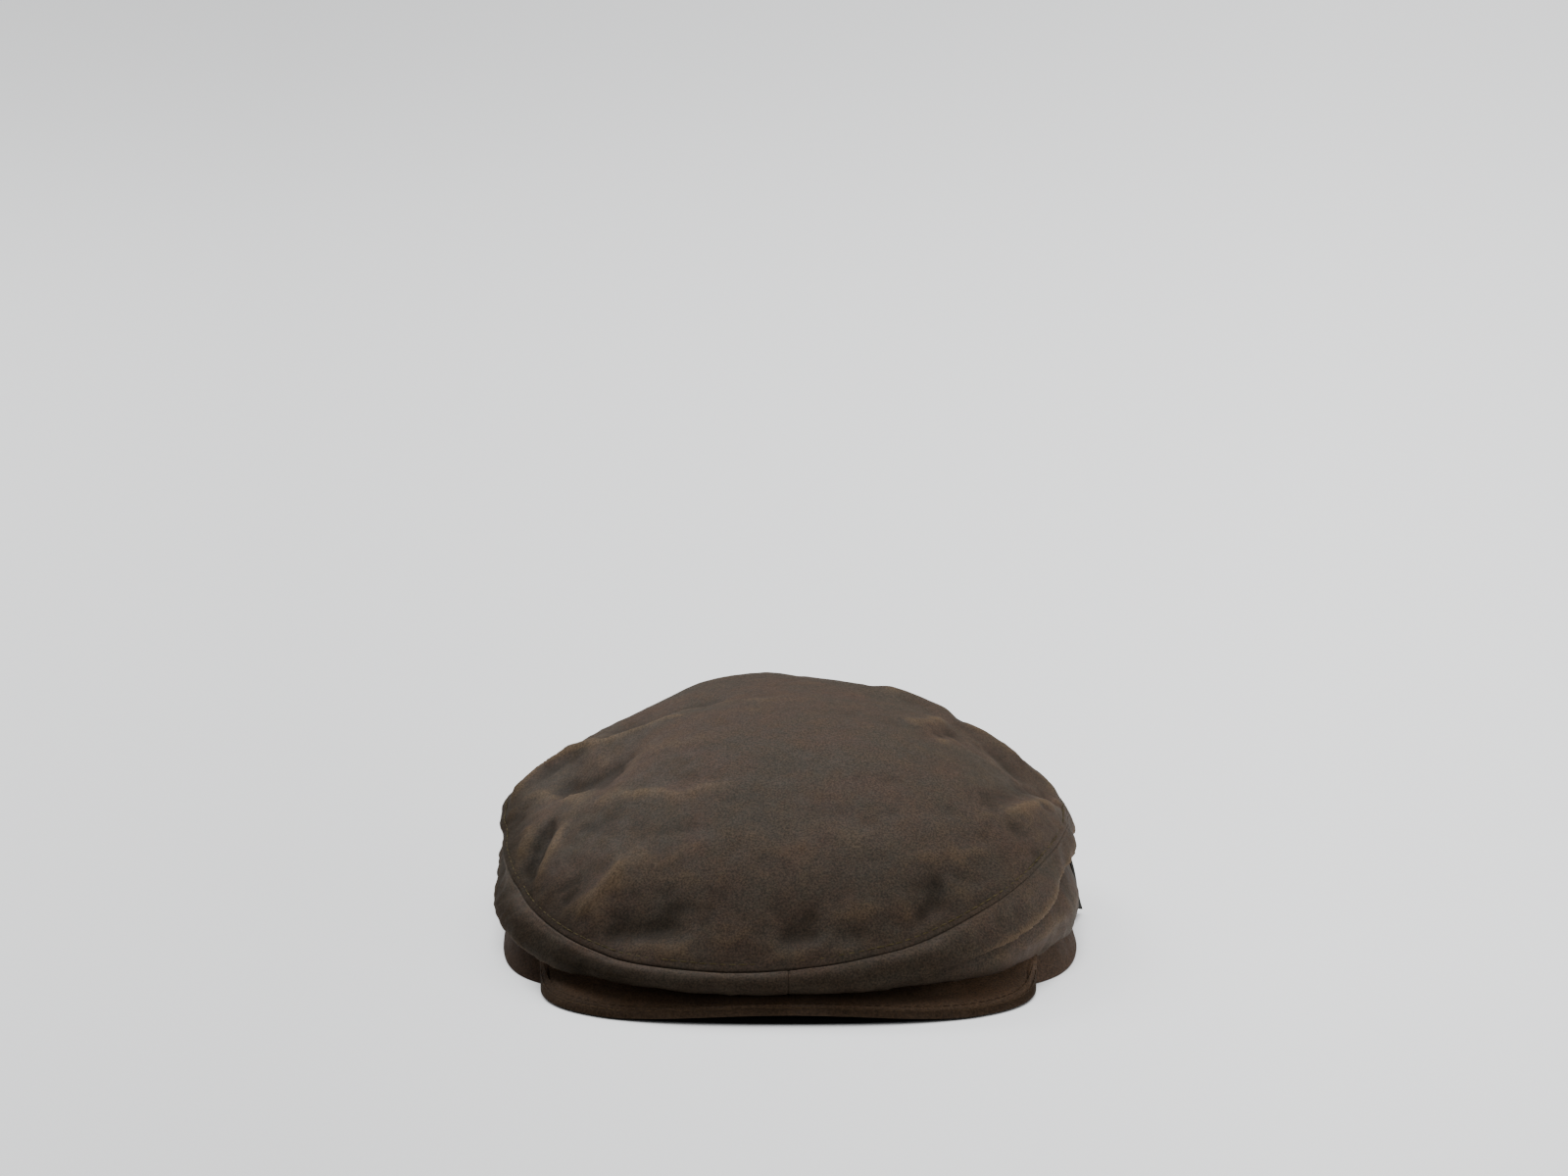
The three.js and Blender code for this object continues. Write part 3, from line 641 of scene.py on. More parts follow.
def blend(tree, share, a, b, how="MIX"):
    """Colour a with this share of b; the node's colour sockets are its inputs 6 and 7 and output 2."""
    inputs = {0: share, 6: a, 7: b}
    return add(tree, "ShaderNodeMix", inputs, data_type="RGBA", blend_type=how).outputs[2]


def maths(tree, how, a, b=0.0):
    """One sum on two values."""
    return add(tree, "ShaderNodeMath", {0: a, 1: b}, operation=how).outputs[0]


def waxed_cotton(name, olive, brown, wear_and_highlight, dark):
    """Dull waxed cotton: olive and brown bloom, paler on ridges from wear and painted highlight, with painted
    shade in creases and where marked, and darker seams.
    """
    material, tree = new_tree(name)
    place = add(tree, "ShaderNodeTexCoord").outputs["Object"]
    # height over the cloth around in mm, distance to a seam in mm, and how much painted shade to lay on, 0 to
    # 1
    names = ("crest", "seam", "painted_shade")
    crest, seam, painted_shade = (add(tree, "ShaderNodeAttribute", attribute_name=n).outputs["Fac"] for n in names)
    # bloom in the wax, patches of about 25 mm and 7 mm, and the yarns' mixed colour
    broad = noise(tree, place, 25, 3, 0.55, 0.6)
    small = noise(tree, place, 7, 3, 0.6)
    heather = noise(tree, place, 1.4, 2, 0.6)
    patches, mixed = remap(tree, broad, 0.38, 0.62, 0, 0.6), remap(tree, heather, 0.35, 0.65, 0, 0.4)
    colour = blend(tree, maths(tree, "ADD", patches, mixed), linear(olive), linear(brown))
    colour = blend(tree, remap(tree, small, 0.45, 0.8, 0, 0.1), colour, linear(wear_and_highlight))
    # ridges are paler, partly from wear and partly as painted highlight; hollows and the marked places get
    # painted shade, and the stitched seams stay dark
    colour = blend(tree, remap(tree, crest, 0.12, 0.8, 0, 0.28), colour, linear(wear_and_highlight))
    colour = blend(tree, remap(tree, crest, -0.05, -0.7, 0, 0.55), colour, linear(dark))
    shade_amount = maths(tree, "MULTIPLY", painted_shade, remap(tree, broad, 0.3, 0.7, 0.5, 0.8))
    colour = blend(tree, shade_amount, colour, linear(dark))
    colour = blend(tree, remap(tree, seam, 0.3, 0.06, 0, 0.6), colour, linear(dark))
    # the yarns' speckle is drawn at 0.7 mm, coarser than real, so that the picture can hold it
    speckle = noise(tree, place, 0.7, 2, 0.7)
    grain = remap(tree, speckle, 0.34, 0.66, 0.62, 1.38)
    grain_colour = add(tree, "ShaderNodeCombineColor", {0: grain, 1: grain, 2: grain}).outputs[0]
    colour = blend(tree, 1.0, colour, grain_colour, "MULTIPLY")
    # the relief is of small creases about 4 mm long, with the yarns on them
    creases = noise(tree, place, 4, 4, 0.6, 1.5)
    height = maths(tree, "ADD", maths(tree, "MULTIPLY", creases, 0.5), maths(tree, "MULTIPLY", speckle, 0.12))
    bump = add(tree, "ShaderNodeBump", {"Height": height, "Strength": 0.75, "Distance": 0.5 * MM})
    inputs = {
        "Base Color": colour,
        "Roughness": remap(tree, small, 0.3, 0.7, 0.68, 0.84),
        # the painted shade also dims the reflections and the sheen
        "Specular IOR Level": remap(tree, painted_shade, 0, 1, 0.12, 0.03),
        "Sheen Weight": remap(tree, painted_shade, 0, 1, 0.06, 0.01),
        "Sheen Roughness": 0.5,
        "Sheen Tint": linear(wear_and_highlight),
        "Normal": bump.outputs[0],
    }
    surface = add(tree, "ShaderNodeBsdfPrincipled", inputs)
    add(tree, "ShaderNodeOutputMaterial", {"Surface": surface.outputs[0]})
    return material


def plain_cloth(name, colour, roughness, weave):
    """Ribbon or thread: one dull colour, with ribs of this size in mm."""
    material, tree = new_tree(name)
    place = add(tree, "ShaderNodeTexCoord").outputs["Object"]
    ribs = {"Vector": place, "Scale": 1 / (weave * MM) / 6.28, "Distortion": 0.5}
    wave = add(tree, "ShaderNodeTexWave", ribs, bands_direction="Z").outputs["Fac"]
    shade = blend(tree, remap(tree, wave, 0, 1, 0, 0.5), linear(colour), linear("#000000"))
    bump = add(tree, "ShaderNodeBump", {"Height": wave, "Strength": 0.3, "Distance": 0.05 * MM})
    inputs = {
        "Base Color": shade,
        "Roughness": roughness,
        "Specular IOR Level": 0.06,
        "Normal": bump.outputs[0],
    }
    surface = add(tree, "ShaderNodeBsdfPrincipled", inputs)
    add(tree, "ShaderNodeOutputMaterial", {"Surface": surface.outputs[0]})
    return material


def studio_paper(name):
    """Seamless pale grey paper that glows evenly, except for painted shadows close under the object."""
    material, tree = new_tree(name)
    place = add(tree, "ShaderNodeSeparateXYZ", {0: add(tree, "ShaderNodeTexCoord").outputs["Object"]}).outputs
    # the light sweeps up from left to right, fanning out away from the front
    fan = maths(tree, "DIVIDE", place["X"], maths(tree, "ADD", place["Y"], 1.8))
    sweep = remap(tree, fan, -0.1, 0.1, 0.82, 1.1)
    front = remap(tree, place["Y"], -0.5, -0.05, 0.88, 1.0)
    # the glow fades where the cap hems the paper in: painted contact shadows
    openness = add(tree, "ShaderNodeAmbientOcclusion", {"Distance": 0.014}, samples=8).outputs["AO"]
    lit = remap(tree, openness, 0.25, 0.7, 0.0, 1.75)
    glow = maths(tree, "MULTIPLY", lit, maths(tree, "MULTIPLY", sweep, front))
    # no glow comes from the floor below the peak, which stands off it at the middle: a painted shadow under
    # the peak
    across = maths(tree, "SUBTRACT", place["X"], CROWN_X)
    along = maths(tree, "SUBTRACT", place["Y"], CROWN_Y)
    wide = maths(tree, "POWER", maths(tree, "DIVIDE", across, PEAK_SHADE[0]), 2.0)
    deep = maths(tree, "POWER", maths(tree, "DIVIDE", along, PEAK_SHADE[1]), 2.0)
    beyond = remap(tree, maths(tree, "ADD", wide, deep), 0.955, 0.985)
    beside = remap(tree, maths(tree, "ABSOLUTE", across), 0.05, 0.066)
    behind = remap(tree, along, -0.02, 0.0)
    outside_painted_shadow = maths(tree, "MAXIMUM", beyond, maths(tree, "MAXIMUM", beside, behind))
    glow = maths(tree, "MULTIPLY", glow, outside_painted_shadow)
    inputs = {
        # the paper under the peak is painted dark, part of that painted shadow
        "Base Color": blend(tree, outside_painted_shadow, linear("#242424"), linear("#8f9091")),
        "Roughness": 0.95,
        "Specular IOR Level": 0.05,
        "Emission Color": linear("#d5d6d7"),
        "Emission Strength": glow,
    }
    surface = add(tree, "ShaderNodeBsdfPrincipled", inputs)
    add(tree, "ShaderNodeOutputMaterial", {"Surface": surface.outputs[0]})
    return material


# each cotton takes olive, brown, a paler colour for wear and painted highlight on ridges, and a dark one for
# painted shade and seams
# the crown's dark olive cotton, dull with old wax
WAXED_COTTON = waxed_cotton("waxed_cotton", "#353029", "#3d3028", "#6b573f", "#17130d")
# the same cotton on the peak, browner and worn by the hand
PEAK_COTTON = waxed_cotton("peak_waxed_cotton", "#40342a", "#483627", "#65503a", "#110e0a")
# the same cotton on the band, browner and less worn
BAND_COTTON = waxed_cotton("band_waxed_cotton", "#342920", "#3d2d22", "#5c4a37", "#15110d")
# ribbed cotton ribbon of the tab
RIBBON = plain_cloth("dark_ribbon", "#1d1b15", 0.85, 0.35)
# twisted cotton thread, olive at the top seam and brown on the peak
THREAD = plain_cloth("olive_thread", "#4b422a", 0.6, 0.4)
BROWN_THREAD = plain_cloth("brown_thread", "#3d2f20", 0.6, 0.4)


# Stitches


def stitch_tree():
    """Geometry nodes: one arched stitch on each point, laid along 'along' with 'out' upwards."""
    tree = bpy.data.node_groups.new("stitches", "GeometryNodeTree")
    tree.interface.new_socket("Geometry", in_out="INPUT", socket_type="NodeSocketGeometry")
    for label in ("Stitch Length", "Thread Radius", "Arch"):
        tree.interface.new_socket(label, in_out="INPUT", socket_type="NodeSocketFloat")
    tree.interface.new_socket("Material", in_out="INPUT", socket_type="NodeSocketMaterial")
    tree.interface.new_socket("Geometry", in_out="OUTPUT", socket_type="NodeSocketGeometry")
    given = tree.nodes.new("NodeGroupInput").outputs
    length, radius, arch = given["Stitch Length"], given["Thread Radius"], given["Arch"]
    half, less, sunk = (maths(tree, "MULTIPLY", length, 0.5 * k) for k in (1, -1, -STITCH_DIP))
    start = add(tree, "ShaderNodeCombineXYZ", {"X": less, "Z": sunk}).outputs[0]
    middle = add(tree, "ShaderNodeCombineXYZ", {"Z": arch}).outputs[0]
    end = add(tree, "ShaderNodeCombineXYZ", {"X": half, "Z": sunk}).outputs[0]
    arc_inputs = {"Resolution": 7, "Start": start, "Middle": middle, "End": end}
    bend = add(tree, "GeometryNodeCurveQuadraticBezier", arc_inputs).outputs[0]
    ring = add(tree, "GeometryNodeCurvePrimitiveCircle", {"Resolution": 6, "Radius": radius}).outputs[0]
    sweep_inputs = {"Curve": bend, "Profile Curve": ring, "Fill Caps": True}
    thread = add(tree, "GeometryNodeCurveToMesh", sweep_inputs).outputs[0]

    def direction(name):
        inputs = {"Name": name}
        return add(tree, "GeometryNodeInputNamedAttribute", inputs, data_type="FLOAT_VECTOR").outputs[0]

    turn = "FunctionNodeAlignRotationToVector"
    turned = add(tree, turn, {"Vector": direction("along")}, axis="X").outputs[0]
    upright = {"Rotation": turned, "Vector": direction("out")}
    rolled = add(tree, turn, upright, axis="Z", pivot_axis="X").outputs[0]
    copies = {"Points": given["Geometry"], "Instance": thread, "Rotation": rolled}
    placed = add(tree, "GeometryNodeInstanceOnPoints", copies).outputs[0]
    real = add(tree, "GeometryNodeRealizeInstances", {"Geometry": placed}).outputs[0]
    final = add(tree, "GeometryNodeSetMaterial", {"Geometry": real, "Material": given["Material"]}).outputs[0]
    smooth_ = add(tree, "GeometryNodeSetShadeSmooth", {"Geometry": final}).outputs[0]
    tree.links.new(smooth_, tree.nodes.new("NodeGroupOutput").inputs[0])
    return tree


STITCHES = stitch_tree()


def stitch_row(name, path, out, thread, closed=False):
    """A row of stitches along a path in mm, standing on the surface whose normals are given."""
    if closed:
        path, out = np.concatenate([path, path[:1]]), np.concatenate([out, out[:1]])
    lengths = np.concatenate([[0], np.cumsum(np.linalg.norm(path[1:] - path[:-1], axis=1))])
    count = int(lengths[-1] / STITCH_SPACING)
    spots = (np.arange(count) + 0.5) * lengths[-1] / count

    def at(values, where):
        return np.stack([np.interp(where, lengths, values[:, k]) for k in range(3)], -1)

    centre, normal = at(path, spots), unit(at(out, spots))
    along = unit(at(path, spots + STITCH_LENGTH / 2) - at(path, spots - STITCH_LENGTH / 2))
    mesh = bpy.data.meshes.new(name)
    mesh.from_pydata(to_frame(centre + normal * THREAD_RADIUS * 0.25).tolist(), [], [])
    for key, values in (("along", along), ("out", normal)):
        layer = mesh.attributes.new(key, "FLOAT_VECTOR", "POINT")
        layer.data.foreach_set("vector", values.ravel().astype(np.float32))
    made = bpy.data.objects.new(name, mesh)
    bpy.context.scene.collection.objects.link(made)
    modifier = made.modifiers.new("stitches", "NODES")
    modifier.node_group = STITCHES
    values = {
        "Stitch Length": STITCH_LENGTH * MM,
        "Thread Radius": THREAD_RADIUS * MM,
        "Arch": STITCH_ARCH * MM,
        "Material": thread,
    }
    for item in STITCHES.interface.items_tree:
        if item.in_out == "INPUT" and item.name in values:
            modifier[item.identifier] = values[item.name]
    evaluated = made.evaluated_get(bpy.context.evaluated_depsgraph_get())
    made.data = bpy.data.meshes.new_from_object(evaluated)
    made.data.name = name
    made.modifiers.clear()
    return made


# Camera

TARGET = Vector((CROWN_X, CROWN_Y - 0.030, 0.040))
CAMERA_DISTANCE = 1.8
CAMERA_ELEVATION = math.radians(14.5)
CAMERA_PITCH = math.radians(11.874)  # below level; the cap sits low in the picture
CAMERA_SIDE = -0.00148  # the cap sits a few pixels right of the middle


def set_camera():
    data = bpy.data.cameras.new("camera")
    data.lens = 118
    data.sensor_width = 36
    data.clip_end = 60
    camera = bpy.data.objects.new("camera", data)
    bpy.context.scene.collection.objects.link(camera)
    back = CAMERA_DISTANCE * math.cos(CAMERA_ELEVATION)
    up = CAMERA_DISTANCE * math.sin(CAMERA_ELEVATION)
    camera.location = TARGET + Vector((CAMERA_SIDE, -back, up))
    camera.rotation_euler = (math.pi / 2 - CAMERA_PITCH, 0, 0)
    bpy.context.scene.camera = camera


set_camera()


# Pieces


def disc_grid(half):
    """Bearing and ring share of a square grid wrapped onto a disc."""
    i, j = np.meshgrid(np.arange(-half, half + 1), np.arange(-half, half + 1), indexing="ij")
    wide = np.abs(i) >= np.abs(j)
    with np.errstate(divide="ignore", invalid="ignore"):
        angle = np.where(wide, math.pi / 4 * j / i, math.pi / 2 - math.pi / 4 * i / j)
    size = np.where(wide, i, j)
    angle[half, half] = 0
    x, y = size * np.cos(angle), size * np.sin(angle)
    return np.degrees(np.arctan2(x, -y)), np.maximum(np.abs(i), np.abs(j))


def make_top():
    """The top panel, on a grid that grows finer towards its seam."""
    reaches = 1 - spaced(total=100, first=0.24, growth=1.075, largest=1.3)[::-1]
    half = len(reaches) - 1
    bearing, ring = disc_grid(half)
    reach = reaches[ring] * (1 - SEAM_GAP / 2 / seam_radius(bearing))
    base = top_base(bearing, reach)
    normal = grid_normals(base)
    if normal[half, half, 2] < 0:
        normal = -normal
    to_seam = (1 - reach) * seam_radius(bearing)
    close = near_top_seam(reach)
    broad = top_folds(base) * (1 - close)
    # the creasing is strongest near the seam, most of all on the left
    left = smooth(0.3, 0.9, -np.sin(np.radians(bearing)))
    strength = 0.5 + (0.8 + 0.25 * left) * smooth(0.4, 0.9, reach)
    fine = crumple(base, 41) * smooth(0, 3, to_seam) * strength
    fine += pucker(base, 51, to_seam)
    # the seam's groove, the swell of the seam allowance behind it and the dip under the stitches
    fine += -0.3 * hump(to_seam, 0, 0.28)
    fine += 0.15 * hump(to_seam, 4.5, 2.2)
    base = base + stray(bearing) * close[..., None]
    fine += TOPSTITCH_DIP * hump(to_seam, TOPSTITCH_INSET, 0.5)
    # painted shade along the front edge, where the panel turns down towards the front, and most at the left
    # front
    front = smooth(0.72, 0.97, reach) * smooth(0.55, 0.95, np.cos(np.radians(bearing + 4)))
    left_front = smooth(0.84, 0.98, reach) * smooth(0.6, 0.95, np.cos(np.radians(bearing + 62)))
    painted_shade = np.maximum(0.55 * front, 0.9 * left_front)
    return shell("top_panel_cloth", base, normal, broad, fine, seam_mitre(bearing), to_seam, painted_shade)


def make_top_stitches():
    """The row of stitches beside the top seam, which follows the panel's relief."""
    turns = np.arange(-180, 180, 0.25)
    inset = 1 - TOPSTITCH_INSET / seam_radius(turns)
    line = top_base(turns, inset)
    up = unit(np.cross(top_base(turns, inset * 0.99) - line, top_base(turns - 0.2, inset) - line))
    up *= np.sign(up[:, 2:3])
    close = near_top_seam(inset)
    relief = top_folds(line) * (1 - close) + pucker(line, 51, np.full(len(turns), TOPSTITCH_INSET)) - 0.1
    path = line + up * relief[:, None] + stray(turns) * close[:, None]
    return stitch_row("top_panel_stitches", path, up, THREAD, closed=True)


def side_rows():
    """Knots of the side panel's rows, close together at the seam and round the lip."""
    parts = [
        np.linspace(0, 0.12, 7)[:-1],
        np.linspace(0.12, 1, 18)[:-1],
        np.linspace(1, 2, 19)[:-1],
        np.linspace(2, 3, 21)[:-1],
        np.linspace(3, 4, 9)[:-1],
        np.linspace(4, 5, 6),
    ]
    return np.concatenate(parts)


def make_side(name, side):
    """A side panel, left (-1) or right (1), from the centre front round to the centre back."""
    turns = side * 180 * spaced(total=180, first=0.1, growth=1.25, largest=0.42, both_ends=True)
    knots = side_rows()
    knot, bearing = np.meshgrid(knots, turns, indexing="ij")
    base = side_base(bearing, knot)
    base[..., 0] += side * SEAM_GAP / 2
    normal = grid_normals(base) * side
    if normal[len(knots) // 2, 0, 1] > 0:
        normal = -normal
    # distances in mm from the top seam and from the nearer end
    steps = np.linalg.norm(base[1:] - base[:-1], axis=-1)
    arc = np.concatenate([np.zeros((1, len(turns))), np.cumsum(steps, axis=0)])
    to_end = np.minimum(np.abs(bearing), 180 - np.abs(bearing)) * math.pi / 180
    to_end = to_end * np.hypot(base[..., 0], base[..., 1])
    drop = knot / LIP_KNOT
    broad = side_folds(base, bearing, drop)
    down = unit(np.gradient(base, axis=0))
    near_seam = 1 - smooth(0, 0.4, drop)
    base = base + down * (FOLD_LEAN * broad)[..., None] + stray(bearing) * near_seam[..., None]
    fine = crumple(base, 61) * smooth(0, 3, arc) * (1 - smooth(1.2, 1.6, drop))
    fine += pucker(base, 71, arc) + pucker(base, 72, to_end, 5.0)
    # the grooves of the top seam and of the centre seams
    fine += -0.45 * hump(arc, 0, 0.35)
    fine += -0.35 * hump(to_end, 0, 0.45) * (1 - smooth(1.3, 1.6, drop))
    near = np.minimum(arc, to_end + 0.25)
    share = (1 - smooth(0, 4, arc))[..., None]
    mitre = normal + (seam_mitre(turns) - normal) * share
    # painted shade from the left side round to the front, more of it low on the panel
    shade_by_bearing = smooth(-150, -110, bearing) * (1 - smooth(15, 42, bearing)) * (1 + 0.3 * hump(bearing, -30, 14))
    left = smooth(-40, -70, bearing)
    low = smooth(0.02, 0.5, drop) * (1 - 0.3 * left) + 0.3 * left
    return shell(name, base, normal, broad, fine, mitre, near, shade_by_bearing * low)


def make_band():
    """The band, a leaning ring whose rim is lifted behind the peak."""
    turns = np.arange(-180, 180, 0.5)
    rim = BAND_FRONT_LIFT * smooth(0.72, 1, np.cos(np.radians(turns)))
    sides = zip((-1, 1), BAND_FLARE)
    left_flare, right_flare = (size * hump(turns, side * BAND_FLARE_BEARING, 15) for side, size in sides)
    flare = right_flare + left_flare
    half = BAND_WALL / 2
    rows = []
    for t in np.linspace(1, 0, 20):
        rows.append((half, half + (BAND_HEIGHT - half) * t))
    for turn in np.linspace(0, math.pi, 9)[1:-1]:
        rows.append((half * math.cos(turn), half - half * math.sin(turn)))
    for t in np.linspace(0, 1, 12):
        rows.append((-half, half + (BAND_HEIGHT - half) * t))
    loops = []
    for across, height in rows:
        z = rim + height * (BAND_HEIGHT - rim) / BAND_HEIGHT
        spread = flare * (1 - smooth(0, 12, z))
        loops.append(polar(turns, band_radius(turns, z) + spread - half + across, z))
    base = np.array(loops)
    normal = grid_normals(base, wrap=True)
    if (normal[3] * polar(turns, 1.0, 0.0)).sum() < 0:
        normal = -normal
    height = base[..., 2]
    relief = 0.5 * waves(base, 81, 30, stretch=(1, 1, 2)) + 0.12 * waves(base, 82, 9)
    relief *= smooth(0, 3, height - rim) * 0.6 + 0.1
    points = base + normal * relief[..., None]
    points[..., 2] = np.maximum(points[..., 2], 0)
    index = np.arange(points[..., 0].size).reshape(points.shape[:2])
    faces = np.concatenate([quads(index, True), quads(np.stack([index[-1], index[0]]), True)])
    crest = relief - blur(relief, 12)
    # painted shade over the band's left side
    left = 0.75 * smooth(-0.1, 0.6, -np.sin(np.radians(turns)))
    attributes = {
        "crest": crest,
        "seam": np.full(crest.shape, FAR_FROM_SEAM),
        "painted_shade": np.broadcast_to(left, crest.shape),
    }
    return mesh_object("headband_cloth", points, faces, BAND_COTTON, attributes)


def band_bearing(x):
    """The bearing at which the band's outer rim is this far to the side."""
    turns = np.linspace(0, 90, 4001)
    return float(np.interp(x, band_radius(turns, 0) * np.sin(np.radians(turns)), turns))


def peak_profile(inward, radius, face):
    """Height over the underside of the peak's upper (1) or lower (-1) face, this far in from the edge."""
    bulge = np.sqrt(np.maximum(0, 1 - (1 - np.minimum(1, inward / radius)) ** 2))
    if face < 0:
        return PEAK_THICKNESS * PEAK_EDGE_SHARE * (1 - bulge)
    first, second = PEAK_STITCH_LINES
    groove = PEAK_GROOVE_DEPTH * sum(hump(inward, line, PEAK_GROOVE_WIDTH) for line in PEAK_STITCH_LINES)
    puff = PEAK_PUFF / 2 * (1 - np.cos(2 * math.pi * np.clip((inward - first) / (second - first), 0, 1)))
    return PEAK_THICKNESS * (PEAK_EDGE_SHARE + (1 - PEAK_EDGE_SHARE) * bulge) - groove + puff


def peak_plan():
    """Points of the peak's front edge, the way back from each to the band, and how far that is."""
    corner_bearing = band_bearing(PEAK_HALF_WIDTH)
    corner = polar(corner_bearing, band_radius(corner_bearing, 0), 0.0)
    corner_line = corner[1] - PEAK_CORNER_DEPTH
    reach = band_radius(0, 0) + PEAK_DEPTH + corner_line
    power = 2 / PEAK_SQUARENESS
    turn = np.linspace(-1, 1, 361)
    angle = math.pi / 2 * turn
    x = PEAK_HALF_WIDTH * np.sign(turn) * np.abs(np.sin(angle)) ** power
    y = corner_line - reach * np.maximum(0, np.cos(angle)) ** power
    front = np.stack([x, y], -1)
    rear = polar(corner_bearing * turn, band_radius(corner_bearing * turn, 0) + BAND_GAP, 0.0)[:, :2]
    span = np.linalg.norm(rear - front, axis=1)
    return front, (rear - front) / span[:, None], span


def edge_radius(rounding, span):
    """The rounding of the peak's edge, smaller where the peak runs out at its ends."""
    return np.minimum(rounding, 0.3 * span)


def peak_face(face, rounding, front, back, span):
    """Rows of points of the upper (1) or lower (-1) face, from the front edge to the band."""
    radius = edge_radius(rounding, span)
    on_edge = [radius * share for share in (np.linspace(0, 1, 13) ** 2)[:-1]]
    beyond = [radius + (span - radius) * share for share in np.linspace(0, 1, 46)]
    rows = []
    for inward in on_edge + beyond:
        spot = front + back * inward[:, None]
        z = peak_under(spot[:, 0], inward / span) + peak_profile(inward, radius, face)
        # the last few millimetres reach in to the band, which leans
        spot = spot + back * (BAND_LEAN * z / BAND_HEIGHT * smooth(span - 12, span, inward))[:, None]
        rows.append(np.stack([spot[:, 0], spot[:, 1], z], -1))
    return np.array(rows)


def peak_stitches(name, line, front, back, span):
    """A row of stitches this far in from the peak's edge, which stops short of its ends."""
    keep = span > line + 2
    spot = (front + back * line)[keep]
    radius = edge_radius(PEAK_TOP_ROUNDING, span)[keep]
    z = peak_under(spot[:, 0], (line / span)[keep]) + peak_profile(line, radius, 1)
    climb = (peak_profile(line + 0.8, radius, 1) - peak_profile(line - 0.8, radius, 1)) / 1.6
    up = np.column_stack([-back[keep] * climb[:, None], np.ones(len(z))])
    return stitch_row(name, np.column_stack([spot, z]), up, BROWN_THREAD)


def make_peak():
    """The peak and its two rows of stitches."""
    plan = peak_plan()
    upper, lower = peak_face(1, PEAK_TOP_ROUNDING, *plan), peak_face(-1, PEAK_UNDER_ROUNDING, *plan)
    ripple = 0.25 * waves(upper, 91, 26) + 0.05 * waves(upper, 92, 6)
    inward = np.linalg.norm(upper[..., :2] - upper[0, :, :2], axis=-1)
    upper[..., 2] += ripple * smooth(2, 10, inward)
    points = np.concatenate([lower[::-1], upper[1:]])
    index = np.arange(points[..., 0].size).reshape(points.shape[:2])
    faces = [quads(index), quads(np.stack([index[-1], index[0]]))]
    # both ends are closed from the edge's row outwards, a row of each face at a time
    edge = len(lower) - 1
    caps = []
    for column, flip in ((index[:, 0], False), (index[:, -1], True)):
        for k in range(edge):
            a, b, c, d = column[edge - k], column[edge + k], column[edge + k + 1], column[edge - k - 1]
            caps.append([a, b, c, d] if flip else [d, c, b, a])
    faces = np.concatenate(faces + [np.array(caps)])
    seam = np.concatenate([inward[::-1], inward[1:]])
    crest = np.concatenate([ripple[::-1] * 0, ripple[1:]]) * 0.6
    # painted shade along the edge, on the underside and back under the crown, and none between
    rim_width = 3.4 + 5 * smooth(-20, -50, upper[..., 0])
    under_crown = smooth(5, 12, inward) * (1 - 0.85 * smooth(20, 60, np.abs(upper[..., 0])))
    shade_amount = np.maximum(1 - smooth(0.6, rim_width, inward), under_crown)
    painted_shade = np.concatenate([np.ones_like(shade_amount), shade_amount[1:]])
    attributes = {"crest": crest, "seam": seam + 0.35, "painted_shade": painted_shade}
    made = mesh_object("peak_cloth", points, faces, PEAK_COTTON, attributes)
    rows = zip(("peak_stitches_outer", "peak_stitches_inner"), PEAK_STITCH_LINES)
    return made, [peak_stitches(name, line, *plan) for name, line in rows]


def make_tab():
    """The tab, a ribbon that hangs from the right side panel and stands off it lower down."""
    steps = np.linspace(-1, 1, 25)
    downs = np.linspace(0, 1, 31)
    half_spread = math.degrees(TAB_WIDTH / 2 / seam_radius(TAB_BEARING))
    top_height = TAB_FLOOR_GAP + TAB_LENGTH * (1 + TAB_SLANT)
    across, down = np.meshgrid(steps, downs, indexing="ij")
    bearing = TAB_BEARING + half_spread * across
    height = top_height - TAB_LENGTH * down * (1 + TAB_SLANT * across)
    # the panel's own profile behind the tab, which the ribbon follows down to just above the lip
    knots = np.linspace(0, LIP_KNOT, 400)
    profile_bearing = np.full(len(knots), float(TAB_BEARING))
    profile = side_base(profile_bearing, knots)
    profile_radius = np.hypot(profile[:, 0], profile[:, 1])
    profile_radius = profile_radius + side_folds(profile, profile_bearing, knots / LIP_KNOT)
    lowest = LIP_HEIGHT * lip_share(np.array(float(TAB_BEARING))) + 4
    surface = np.interp(np.maximum(height, lowest), profile[::-1, 2], profile_radius[::-1])
    surface = surface * seam_radius(bearing) / seam_radius(TAB_BEARING)
    stand = TAB_STAND + TAB_FLARE * down * down * (0.5 + 0.5 * across) + 0.15 * np.sin(3 * across + 2 * down)
    near = polar(bearing, surface + stand, height)
    far = polar(bearing, surface + stand + TAB_THICKNESS, height)
    faces = shell_faces(len(steps), len(downs))
    return mesh_object("side_tab_ribbon", np.stack([far, near]), faces, RIBBON)


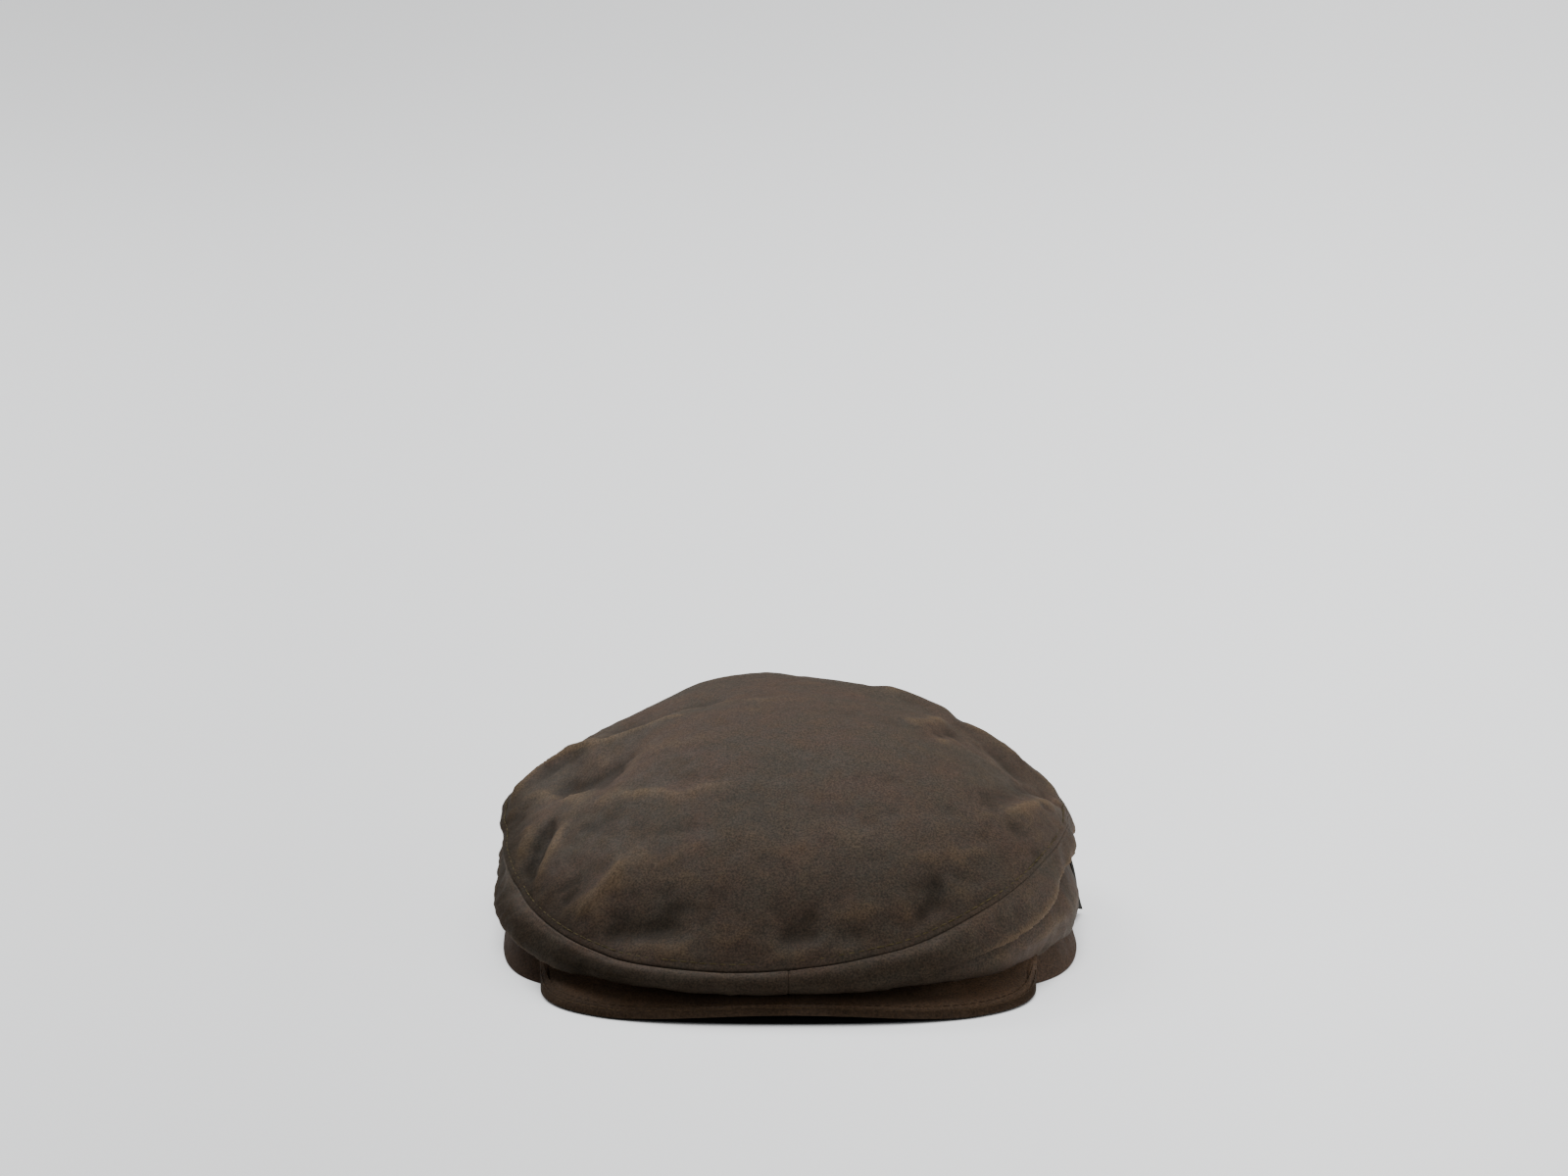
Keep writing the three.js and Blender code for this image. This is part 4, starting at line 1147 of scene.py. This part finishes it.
def make_cap():
    """All pieces, each in the place of its node and riding on the one body."""
    top = make_top()
    top_stitches = make_top_stitches()
    left, right = make_side("side_panel_left_cloth", -1), make_side("side_panel_right_cloth", 1)
    band = make_band()
    peak, peak_rows = make_peak()
    tab = make_tab()
    made = [
        (top, "top_panel", "waxed_cotton"),
        (left, "side_panel_left", "waxed_cotton"),
        (right, "side_panel_right", "waxed_cotton"),
        (band, "headband", "band_cotton"),
        (peak, "peak", "peak_cotton"),
        (tab, "side_tab", "dark_ribbon"),
    ]
    for piece, node, slot in made:
        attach(piece, "root")
        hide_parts(node)
    for row in [top_stitches] + peak_rows:
        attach(row, "root")


make_cap()


# Floor and light


def make_floor():
    """A wide sheet of paper whose far edge lies out of the picture."""
    mesh = bpy.data.meshes.new("floor")
    half = 14
    corners = [(-half, -half, 0), (half, -half, 0), (half, half, 0), (-half, half, 0)]
    mesh.from_pydata(corners, [], [(0, 1, 2, 3)])
    mesh.materials.append(studio_paper("seamless_paper"))
    floor = bpy.data.objects.new("floor", mesh)
    bpy.context.scene.collection.objects.link(floor)


def area_light(name, place, aim, size, power):
    data = bpy.data.lights.new(name, "AREA")
    data.shape = "RECTANGLE"
    data.size, data.size_y = size
    data.energy = power
    light = bpy.data.objects.new(name, data)
    light.location = place
    light.rotation_euler = (Vector(aim) - Vector(place)).to_track_quat("-Z", "Y").to_euler()
    bpy.context.scene.collection.objects.link(light)


def set_world(strength):
    world = bpy.data.worlds.new("studio")
    bpy.context.scene.world = world
    world.use_nodes = True
    background = world.node_tree.nodes["Background"]
    background.inputs["Color"].default_value = linear("#e3e2e0")
    background.inputs["Strength"].default_value = strength


make_floor()
set_world(0.14)
area_light("overhead", (-0.1, 0.5, 2.1), (0, 0.2, 0), (3.0, 2.6), 82)
area_light("left_key", (-1.25, 1.2, 1.85), (0, 0, 0.04), (1.0, 1.0), 40)
area_light("right_low", (1.8, -0.1, 0.45), (0, 0, 0.04), (1.2, 0.7), 13)
area_light("right_front", (1.1, -1.1, 0.35), (0.07, -0.1, 0.01), (0.4, 0.2), 6)
area_light("left_front", (-1.1, -1.1, 0.35), (-0.07, -0.1, 0.01), (0.4, 0.2), 3.5)
